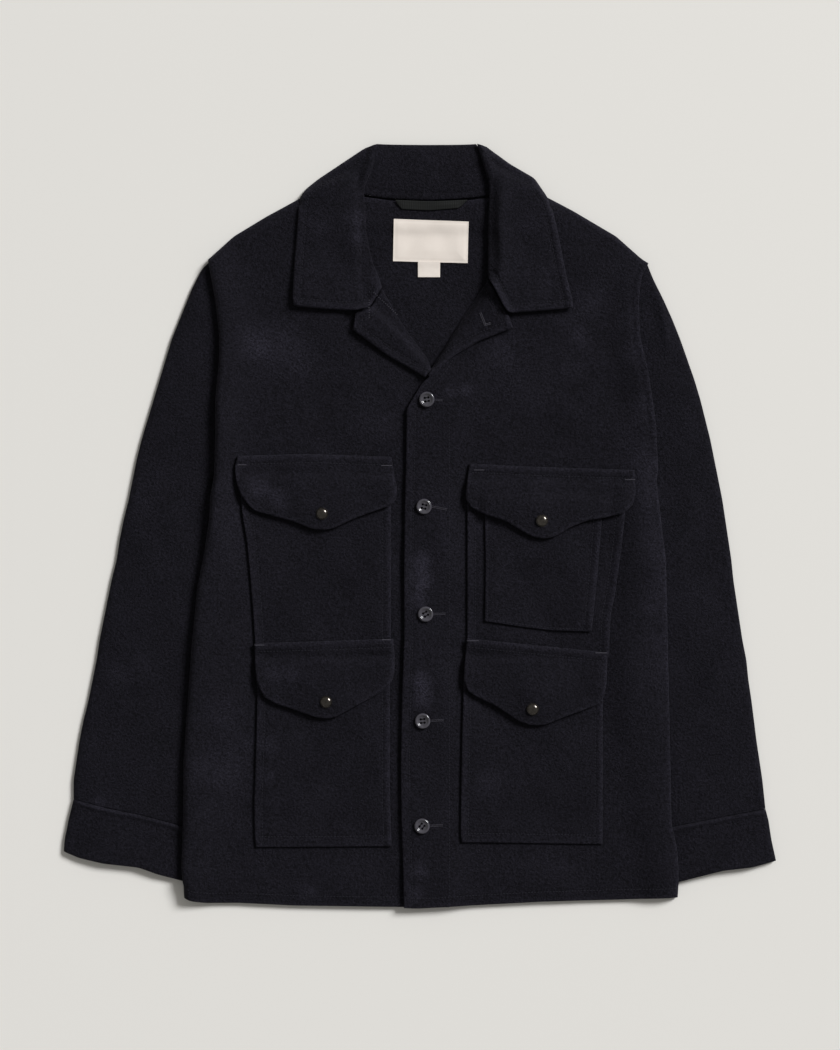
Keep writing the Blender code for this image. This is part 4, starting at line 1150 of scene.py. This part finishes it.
def brushed_wool():
    """Heavy navy wool twill, milled, with its face raised by brushing: the nap hides the weave,
    varies in tone in patches, is lighter on rubbed cut edges, and shows clumps of fibre. Its colour
    also carries painted highlights: soft lighter discs at listed places and a lighter tint on raised
    ridges."""
    material, tree, surface = new_material("Brushed navy wool")
    place = add_node(tree, "ShaderNodeTexCoord").outputs["Object"]
    # Brushed patches 30 to 60 mm wide, where the nap leans towards the light
    patches = add_node(tree, "ShaderNodeTexNoise", {
        "Vector": place, "Scale": 24.0, "Detail": 5.0, "Roughness": 0.66,
    })
    # Fibre clumps about 2.5 mm and 1 mm across
    clumps = add_node(tree, "ShaderNodeTexNoise", {
        "Vector": place, "Scale": 390.0, "Detail": 3.0, "Roughness": 0.75,
    })
    fibres = add_node(tree, "ShaderNodeTexNoise", {
        "Vector": place, "Scale": 1100.0, "Detail": 2.0, "Roughness": 0.7,
    })
    level = add_node(tree, "ShaderNodeMapRange", {
        "Value": patches.outputs["Fac"], "From Min": 0.33, "From Max": 0.7,
        "To Min": 0.9, "To Max": 1.12,
    }).outputs[0]
    ragged = add_node(tree, "ShaderNodeMapRange", {
        "Value": patches.outputs["Fac"], "From Min": 0.36, "From Max": 0.66,
        "To Min": 0.4, "To Max": 1.3,
    })
    # Each painted highlight lightens the wool's colour in a soft disc round its place
    for x, y, radius, strength in PAINTED_HIGHLIGHTS:
        apart = add_node(tree, "ShaderNodeVectorMath", {
            0: place, 1: (x * MM, y * MM, 0.012),
        }, operation="DISTANCE")
        highlight_disc = add_node(tree, "ShaderNodeMapRange", {
            "Value": apart.outputs["Value"], "From Min": 0.0, "From Max": radius * MM * 1.5,
            "To Min": strength, "To Max": 0.0,
        }, interpolation_type="SMOOTHERSTEP")
        highlighted_level = add_node(tree, "ShaderNodeMath", {
            0: highlight_disc.outputs[0], 1: ragged.outputs[0], 2: level,
        }, operation="MULTIPLY_ADD")
        level = highlighted_level.outputs[0]
    # Rubbed nap on cut edges and painted highlight on raised ridges, from the mesh
    worn = add_node(tree, "ShaderNodeAttribute", attribute_name="worn").outputs["Fac"]
    level = add_node(tree, "ShaderNodeMath", {
        0: worn, 1: 0.45, 2: level,
    }, operation="MULTIPLY_ADD").outputs[0]
    for source, low, high, least, most in (
        (clumps, 0.34, 0.68, 0.45, 1.6), (fibres, 0.3, 0.72, 0.5, 1.55),
    ):
        grain = add_node(tree, "ShaderNodeMapRange", {
            "Value": source.outputs["Fac"], "From Min": low, "From Max": high,
            "To Min": least, "To Max": most,
        })
        level = add_node(tree, "ShaderNodeMath", {
            0: level, 1: grain.outputs[0],
        }, operation="MULTIPLY").outputs[0]
    shade = add_node(tree, "ShaderNodeVectorMath", {0: linear("16151b")[:3]}, operation="SCALE")
    tree.links.new(level, shade.inputs["Scale"])
    tree.links.new(shade.outputs[0], surface.inputs["Base Color"])
    # Diagonal twill 2.4 mm apart, mostly filled by the nap
    turn = add_node(tree, "ShaderNodeMapping", {"Vector": place, "Rotation": (0, 0, 0.9)})
    twill = add_node(tree, "ShaderNodeTexWave", {
        "Vector": turn.outputs[0], "Scale": 66.0, "Distortion": 3.0, "Detail": 2.0,
        "Detail Scale": 6.0,
    })
    first = add_node(tree, "ShaderNodeBump", {
        "Height": twill.outputs["Fac"], "Distance": 0.0003, "Strength": 0.4,
    })
    second = add_node(tree, "ShaderNodeBump", {
        "Height": clumps.outputs["Fac"], "Distance": 0.002, "Strength": 1.0,
        "Normal": first.outputs[0],
    })
    tree.links.new(second.outputs[0], surface.inputs["Normal"])
    surface.inputs["Roughness"].default_value = 0.95
    surface.inputs["Specular IOR Level"].default_value = 0.1
    surface.inputs["Sheen Weight"].default_value = 0.07
    surface.inputs["Sheen Roughness"].default_value = 0.3
    surface.inputs["Sheen Tint"].default_value = linear("b9b4c8")
    return material


def spun_thread(name, code, rough):
    """Polyester sewing thread, spun and dyed: softer and a little lighter than the wool."""
    material, tree, surface = new_material(name)
    surface.inputs["Base Color"].default_value = linear(code)
    surface.inputs["Roughness"].default_value = rough
    surface.inputs["Specular IOR Level"].default_value = 0.15
    return material


def moulded_resin():
    """Polyester resin, turned and tumbled: near black, glossy, with faint milky streaks."""
    material, tree, surface = new_material("Tumbled dark resin")
    place = add_node(tree, "ShaderNodeTexCoord").outputs["Object"]
    streaks = add_node(tree, "ShaderNodeTexNoise", {
        "Vector": place, "Scale": 180.0, "Detail": 3.0, "Distortion": 1.5,
    })
    mixed = add_node(tree, "ShaderNodeMix", {
        "A": linear("2a292e"), "B": linear("4f4d55"),
    }, data_type="RGBA")
    tree.links.new(streaks.outputs["Fac"], mixed.inputs[0])
    tree.links.new(mixed.outputs[2], surface.inputs["Base Color"])
    surface.inputs["Roughness"].default_value = 0.16
    surface.inputs["Coat Weight"].default_value = 0.5
    return material


def blackened_brass():
    """Brass snap cap, oxidised nearly black and softly polished on the dome."""
    material, tree, surface = new_material("Blackened brass")
    place = add_node(tree, "ShaderNodeTexCoord").outputs["Object"]
    wear = add_node(tree, "ShaderNodeTexNoise", {"Vector": place, "Scale": 500.0, "Detail": 4.0})
    mixed = add_node(tree, "ShaderNodeMix", {
        "A": linear("242220"), "B": linear("77726c"),
    }, data_type="RGBA")
    tree.links.new(wear.outputs["Fac"], mixed.inputs[0])
    tree.links.new(mixed.outputs[2], surface.inputs["Base Color"])
    surface.inputs["Metallic"].default_value = 1.0
    surface.inputs["Roughness"].default_value = 0.2
    return material


def woven_tape():
    """Satin-woven loop tape: a low, directional shine on dark grey-green yarn."""
    material, tree, surface = new_material("Dark satin tape")
    place = add_node(tree, "ShaderNodeTexCoord").outputs["Object"]
    ribs = add_node(tree, "ShaderNodeTexWave", {
        "Vector": place, "Scale": 160.0, "Distortion": 0.6, "Detail": 1.0,
    }, bands_direction="X")
    bump = add_node(tree, "ShaderNodeBump", {
        "Height": ribs.outputs["Fac"], "Distance": 0.0002, "Strength": 0.5,
    })
    tree.links.new(bump.outputs[0], surface.inputs["Normal"])
    surface.inputs["Base Color"].default_value = linear("0c0e0d")
    surface.inputs["Roughness"].default_value = 0.6
    surface.inputs["Specular IOR Level"].default_value = 0.25
    return material


def woven_label():
    """Damask-woven label ground in off-white yarn, left bare."""
    material, tree, surface = new_material("Off-white label weave")
    place = add_node(tree, "ShaderNodeTexCoord").outputs["Object"]
    yarns = add_node(tree, "ShaderNodeTexWave", {
        "Vector": place, "Scale": 420.0, "Distortion": 0.8, "Detail": 1.0,
    }, bands_direction="Y")
    soil = add_node(tree, "ShaderNodeTexNoise", {"Vector": place, "Scale": 60.0, "Detail": 4.0})
    mixed = add_node(tree, "ShaderNodeMix", {
        "A": linear("e0d6cc"), "B": linear("efe6dd"),
    }, data_type="RGBA")
    tree.links.new(soil.outputs["Fac"], mixed.inputs[0])
    tree.links.new(mixed.outputs[2], surface.inputs["Base Color"])
    bump = add_node(tree, "ShaderNodeBump", {
        "Height": yarns.outputs["Fac"], "Distance": 0.0002, "Strength": 0.5,
    })
    tree.links.new(bump.outputs[0], surface.inputs["Normal"])
    surface.inputs["Roughness"].default_value = 0.85
    return material


def pale_board():
    """Matt painted board under the jacket."""
    material, tree, surface = new_material("Matt warm white board")
    surface.inputs["Base Color"].default_value = linear("e4e2dd")
    surface.inputs["Roughness"].default_value = 0.9
    surface.inputs["Specular IOR Level"].default_value = 0.1
    return material


MATERIALS = {
    "wool": brushed_wool,
    "tape": woven_tape,
    "label": woven_label,
    "button": moulded_resin,
    "snap": blackened_brass,
    "board": pale_board,
    "dark_thread": lambda: spun_thread("Dark polyester thread", "24232a", 0.8),
    "button_thread": lambda: spun_thread("Black button thread", "0e0e10", 0.8),
    "grey_thread": lambda: spun_thread("Grey polyester thread", "504e56", 0.75),
    "slate_thread": lambda: spun_thread("Slate buttonhole twist", "45434b", 0.75),
}
made_materials = {}


def dress(piece, key):
    """Gives a piece its material."""
    if key not in made_materials:
        made_materials[key] = MATERIALS[key]()
    piece.data.materials.clear()
    piece.data.materials.append(made_materials[key])
    return piece


# Flat cut of what shows of each sheet: width, length and area, m
FLAT_CUTS = {
    "sleeve_right": (0.352, 0.623, 0.13018),
    "cuff_right": (0.281, 0.091, 0.01628),
    "sleeve_left": (0.290, 0.621, 0.10711),
    "cuff_left": (0.261, 0.084, 0.01469),
    "back": (0.534, 0.778, 0.37012),
    "front_right": (0.294, 0.803, 0.19267),
    "front_left": (0.305, 0.806, 0.19807),
    "pocket_chest_right": (0.165, 0.187, 0.02917),
    "pocket_chest_left": (0.175, 0.189, 0.02997),
    "pocket_small_left": (0.129, 0.145, 0.01734),
    "pocket_lower_right": (0.151, 0.203, 0.02979),
    "pocket_lower_left": (0.158, 0.200, 0.03063),
    "flap_chest_right": (0.177, 0.083, 0.01170),
    "flap_chest_left": (0.186, 0.082, 0.01113),
    "flap_lower_right": (0.154, 0.087, 0.01060),
    "flap_lower_left": (0.158, 0.095, 0.01120),
    "lapel_right": (0.086, 0.098, 0.00344),
    "lapel_left": (0.093, 0.107, 0.00301),
    "collar_right": (0.098, 0.184, 0.01271),
    "collar_left": (0.106, 0.188, 0.01205),
    "hanger_loop": (0.080, 0.012, 0.00070),
    "neck_label": (0.083, 0.048, 0.00376),
    "size_tag": (0.025, 0.017, 0.00042),
    "collar_back": (0.255, 0.190, 0.0330),
}


def settle(piece, key, slot=None, cut=True, rests_on=()):
    """Dresses a piece and stands it for its node; its flat cut is looked up but not used further."""
    dress(piece, key)
    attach(piece, "root")
    name = piece.name.removesuffix(LAID)
    if name in frame_nodes:
        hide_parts(name)
    if cut:
        width, length, area = FLAT_CUTS[name]
    return piece


frame_nodes = set()


def lies_on(name):
    others = [other for other in CARRIERS.get(name, ()) if other != "collar_under"]
    return [other + LAID for other in others]


class JacketSettings(bpy.types.PropertyGroup):
    """Sizes that the pieces share."""

    wool: bpy.props.FloatProperty(
        name="Wool", description="Thickness of the wool", default=0.0026, min=0.001, max=0.006,
        unit="LENGTH", subtype="DISTANCE",
    )
    step: bpy.props.FloatProperty(
        name="Mesh step", description="Distance between the mesh lines of a wool piece",
        default=0.0019, min=0.001, max=0.01, unit="LENGTH", subtype="DISTANCE",
    )
    stitch: bpy.props.FloatProperty(
        name="Stitch", description="Distance from one stitch to the next", default=0.0034,
        min=0.001, max=0.01, unit="LENGTH", subtype="DISTANCE",
    )
    thread: bpy.props.FloatProperty(
        name="Thread", description="Radius of the sewing thread", default=0.00034, min=0.0001,
        max=0.001, unit="LENGTH", subtype="DISTANCE",
    )


class JacketOperator(bpy.types.Operator):
    """Shared base of the jacket's operators"""

    bl_options = {"REGISTER", "UNDO"}

    def execute(self, context):
        self.build(context.scene.laid_jacket)
        return {"FINISHED"}


class MakeSleeves(JacketOperator):
    """Makes both sleeves and their cuffs as flattened tubes"""

    bl_idname = "jacket.sleeves"
    bl_label = "Make Sleeves"

    def build(self, settings):
        step = settings.step / MM
        for side in ("right", "left"):
            for name, height, crown, radius, mouth in (
                ("sleeve_" + side, SLEEVE_HEIGHT, SLEEVE_CROWN, SLEEVE_EDGE, 0.0),
                ("cuff_" + side, SLEEVE_HEIGHT + 0.8, 1.6, SLEEVE_EDGE, 2.6),
            ):
                folds = SLEEVE_FOLDS.get(name, ())
                piece = make_tube(name, height, crown, radius, step, mouth, folds)
                settle(piece, "wool", "wool", rests_on=["board"])
            reliefs["sleeve_" + side] = np.maximum(
                reliefs["sleeve_" + side], reliefs["cuff_" + side]
            )


class MakeBody(JacketOperator):
    """Makes the back of the collar, the back and both fronts"""

    bl_idname = "jacket.body"
    bl_label = "Make Body"

    def build(self, settings):
        wall, step = settings.wool / MM, settings.step / MM
        settle(make_collar_back(), "wool", "wool", rests_on=["board"])
        back = cloth_piece("back", wall, 4.0)
        settle(back, "wool", "wool", rests_on=lies_on("back"))
        for name, rise in (("front_right", side_stand), ("front_left", lap_stand)):
            piece = cloth_piece(name, wall, step, rise=rise, bridge=(9, 90))
            settle(piece, "wool", "wool", rests_on=lies_on(name))


def body_puff(gaps):
    """Air inside the body: the fronts stand 1.2 mm off the back away from their edges."""
    nearest = np.minimum(gaps["left"], gaps["right"])
    return 1.2 * (nearest / 45.0).clip(0.0, 1.0)


def side_stand(gaps):
    """The lower front's side stands 5 mm higher, where the sleeve lies under it, and 5 mm more
    below the underarm."""
    underarm = np.exp(-(((gaps["bottom"] - 500.0) / 110.0) ** 2))
    return body_puff(gaps) + (5.0 + 5.0 * underarm) * np.exp(-((gaps["left"] / 26.0) ** 2))


def lap_stand(gaps):
    """The lapped edge of the upper front stands 1.4 mm off the lower one."""
    return body_puff(gaps) + 1.4 * np.exp(-((gaps["left"] / 18.0) ** 2))


def flap_hover(gaps):
    """A flap's loose edge stands up to 2.2 mm off the pocket."""
    return 2.2 * (gaps["top"] / 40.0).clip(0.0, 1.0) - 0.5


def collar_hover(gaps):
    """A collar leaf's lower edge stands up to 2.6 mm off the front."""
    return 2.6 * np.exp(-((gaps["bottom"] / 40.0) ** 2))


def collar_arch(gaps):
    """The left leaf also arches up to 4 mm beside its fold."""
    return collar_hover(gaps) + 4.0 * np.exp(-(((gaps["left"] - 10.0) / 12.0) ** 2))


def lapel_hover(gaps):
    """A lapel's outer edge stands up to 1.8 mm off the front."""
    return 1.8 * np.exp(-((gaps["top"] / 30.0) ** 2)) + 0.6


class MakePockets(JacketOperator):
    """Makes the patch pockets and their scalloped flaps"""

    bl_idname = "jacket.pockets"
    bl_label = "Make Pockets"

    def build(self, settings):
        wall, step = settings.wool / MM, settings.step / MM
        for name in CARRIERS:
            if name.startswith("pocket"):
                settle(cloth_piece(name, wall, step), "wool", "wool", rests_on=lies_on(name))
        for name in CARRIERS:
            if name.startswith("flap"):
                piece = cloth_piece(name, wall + 1.2, 0.8 * step, rise=flap_hover)
                settle(piece, "wool", "wool", rests_on=lies_on(name))


class MakeCollar(JacketOperator):
    """Makes the lapels and the collar leaves"""

    bl_idname = "jacket.collar"
    bl_label = "Make Collar"

    def build(self, settings):
        wall, step = settings.wool / MM, settings.step / MM
        for name, rise in (
            ("lapel_right", lapel_hover), ("lapel_left", lapel_hover),
            ("collar_right", collar_hover), ("collar_left", collar_arch),
        ):
            piece = cloth_piece(name, wall + 1.3, 0.75 * step, rise=rise)
            settle(piece, "wool", "wool", rests_on=lies_on(name))


class MakeNeckPieces(JacketOperator):
    """Makes the hanger loop, the bare label and its size tag"""

    bl_idname = "jacket.neck"
    bl_label = "Make Neck Pieces"

    def build(self, settings):
        for name, key, wall in (
            ("hanger_loop", "tape", 1.3),
            ("neck_label", "label", 0.6),
            ("size_tag", "label", 0.6),
        ):
            piece = cloth_piece(name, wall, 0.9)
            settle(piece, key, key, rests_on=lies_on(name))


class MakeFasteners(JacketOperator):
    """Makes the buttons and the snap caps"""

    bl_idname = "jacket.fasteners"
    bl_label = "Make Fasteners"

    def build(self, settings):
        carriers = ("front_right", "front_left")
        starts, ends = [], []
        for k, ((x, y), turn) in enumerate(zip(BUTTONS, BUTTON_TURNS)):
            z = float(resting(np.array([[(x, y)]], float), carriers, 4, 2)[0, 0]) - 0.4
            name = f"button_{k + 1}"
            piece = turned_part(name, BUTTON_PROFILE, BUTTON_RADIUS, x, y, z)
            settle(drilled(piece, x, y, z, turn), "button", "button", cut=False)
            away = BUTTON_HOLE_PITCH / 2.0
            cos, sin = math.cos(math.radians(turn)), math.sin(math.radians(turn))
            for side in (-away - 0.25, -away + 0.25, away - 0.25, away + 0.25):
                for group, reach in ((starts, -away - 0.2), (ends, away + 0.2)):
                    group.append((x + reach * cos - side * sin, y + reach * sin + side * cos))
            grid = np.linspace(-4.5, 4.5, 9)
            disc = np.stack(np.meshgrid(x + grid, y + grid), axis=-1)
            press("buttons", disc, np.full(disc.shape[:2], z + 1.6))
        threads = thread_mesh("button_threads", starts, ends, 0.3, ("buttons",), 0.15)
        settle(threads, "button_thread", cut=False)
        for name, (flap, x, y) in SNAPS.items():
            z = float(resting(np.array([[(x, y)]], float), (flap,), 3, 2)[0, 0]) - 0.3
            piece = turned_part(name, SNAP_PROFILE, SNAP_RADIUS, x, y, z)
            settle(piece, "snap", "snap", cut=False)


class MakeStitching(JacketOperator):
    """Makes the topstitching, the bar tacks and the buttonholes"""

    bl_idname = "jacket.stitching"
    bl_label = "Make Stitching"

    def build(self, settings):
        pitch, radius = settings.stitch / MM, settings.thread / MM
        cloth = [name for name in reliefs if name not in ("buttons", "collar_under")]
        starts, ends = [], []
        for name in SEWN:
            if name == "neck_label" or name.startswith("cuff"):
                continue
            covers = [key for key in reliefs if name in CARRIERS.get(key, ())]
            own = reliefs[name]
            over = merged(covers) if covers else np.zeros_like(own)
            for line in sewn_rows(name):
                first, last = row_of_stitches(line, pitch, 0.72 * pitch)
                seen = sampled(own, first) > sampled(over, first) - 0.6
                starts.append(first[seen])
                ends.append(last[seen])
        for line in EXTRA_ROWS:
            first, last = row_of_stitches(smooth_line(line), pitch, 0.72 * pitch)
            starts.append(first)
            ends.append(last)
        threads = thread_mesh(
            "topstitching", np.concatenate(starts), np.concatenate(ends), radius, cloth, 0.12
        )
        settle(threads, "dark_thread", cut=False)
        starts, ends = [], []
        for tack in BAR_TACKS:
            first, last = dense_tack(*tack, 0.5, 0.55)
            starts.append(first)
            ends.append(last)
        threads = thread_mesh(
            "bar_tacks", np.concatenate(starts), np.concatenate(ends), 0.28, cloth, 0.25
        )
        settle(threads, "grey_thread", cut=False)
        starts, ends = zip(*(whipped(*hole) for hole in BUTTONHOLES))
        threads = thread_mesh(
            "buttonhole_stitches", np.concatenate(starts), np.concatenate(ends), 0.28, cloth, 0.25
        )
        settle(threads, "slate_thread", cut=False)
        picked = [dense_tack(*tack, 0.8, 2.2) for tack in LOOSE_TACKS]
        starts, ends = zip(*picked, *(whipped(*hole) for hole in LAPEL_HOLE))
        threads = thread_mesh(
            "lapel_stitches", np.concatenate(starts), np.concatenate(ends), 0.3, cloth, 0.3
        )
        settle(threads, "grey_thread", cut=False)


# Rows of stitches that no edge carries: the facing row down the left front
EXTRA_ROWS = (
    ((31.9, 111.5), (31.9, 40), (31.9, -60), (31.9, -180), (31.9, -300), (32.5, -408)),
)


# Soft light from the upper right of the photo: direction it comes from, strength, spread in
# degrees, and the strength of the even light from all round
KEY_FROM = (0.68, 0.54, 0.64)
KEY_STRENGTH = 3.45
KEY_SPREAD = 20.0
SKY_STRENGTH = 0.27
SIDE_POWER = 7.5


class MakeStage(JacketOperator):
    """Makes the board, the lights and the camera straight above the jacket"""

    bl_idname = "jacket.stage"
    bl_label = "Make Stage"

    def build(self, settings):
        scene = bpy.context.scene
        half = 9.0
        mesh = bpy.data.meshes.new("board")
        corners = [(-half, -half, 0), (half, -half, 0), (half, half, 0), (-half, half, 0)]
        mesh.from_pydata(corners, [], [(0, 1, 2, 3)])
        board = bpy.data.objects.new("board", mesh)
        scene.collection.objects.link(board)
        dress(board, "board")
        board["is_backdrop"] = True
        light = bpy.data.lights.new("Window light", "SUN")
        light.energy = KEY_STRENGTH
        light.angle = math.radians(KEY_SPREAD)
        light.color = (0.98, 0.985, 1.0)
        lamp = bpy.data.objects.new("Window light", light)
        lamp.rotation_euler = (-Vector(KEY_FROM)).to_track_quat("-Z", "Y").to_euler()
        scene.collection.objects.link(lamp)
        panel = bpy.data.lights.new("Side light", "AREA")
        panel.size, panel.energy = 1.6, SIDE_POWER
        lamp = bpy.data.objects.new("Side light", panel)
        lamp.location = (1.9, 1.5, 1.6)
        lamp.rotation_euler = (-lamp.location).to_track_quat("-Z", "Y").to_euler()
        scene.collection.objects.link(lamp)
        world = bpy.data.worlds.new("Studio")
        world.use_nodes = True
        world.node_tree.nodes["Background"].inputs["Color"].default_value = (1.0, 0.985, 0.95, 1.0)
        world.node_tree.nodes["Background"].inputs["Strength"].default_value = SKY_STRENGTH
        scene.world = world
        scene.view_settings.view_transform = "Standard"
        camera = bpy.data.cameras.new("Photo camera")
        camera.lens, camera.sensor_width = 85.0, 36.0
        view = bpy.data.objects.new("Photo camera", camera)
        view.location = (0.0, 0.0, 85.0 / 36.0 * 1.155)
        scene.collection.objects.link(view)
        scene.camera = view


class JacketPanel(bpy.types.Panel):
    """Sizes and steps of the laid jacket"""

    bl_idname = "VIEW3D_PT_laid_jacket"
    bl_label = "Laid Jacket"
    bl_space_type = "VIEW_3D"
    bl_region_type = "UI"
    bl_category = "Jacket"

    def draw(self, context):
        settings = context.scene.laid_jacket
        for key in ("wool", "step", "stitch", "thread"):
            self.layout.prop(settings, key)
        for operator in STEPS:
            self.layout.operator(operator.bl_idname)


STEPS = (
    MakeSleeves, MakeBody, MakePockets, MakeCollar, MakeNeckPieces, MakeFasteners, MakeStitching,
    MakeStage,
)
CLASSES = (JacketSettings,) + STEPS + (JacketPanel,)


def register():
    for item in CLASSES:
        bpy.utils.register_class(item)
    bpy.types.Scene.laid_jacket = bpy.props.PointerProperty(type=JacketSettings)


def unregister():
    del bpy.types.Scene.laid_jacket
    for item in reversed(CLASSES):
        bpy.utils.unregister_class(item)


def main():
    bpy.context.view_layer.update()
    frame_nodes.update(o.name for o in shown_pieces())
    register()
    for operator in STEPS:
        group, name = operator.bl_idname.split(".")
        getattr(getattr(bpy.ops, group), name)()


if __name__ == "__main__":
    main()
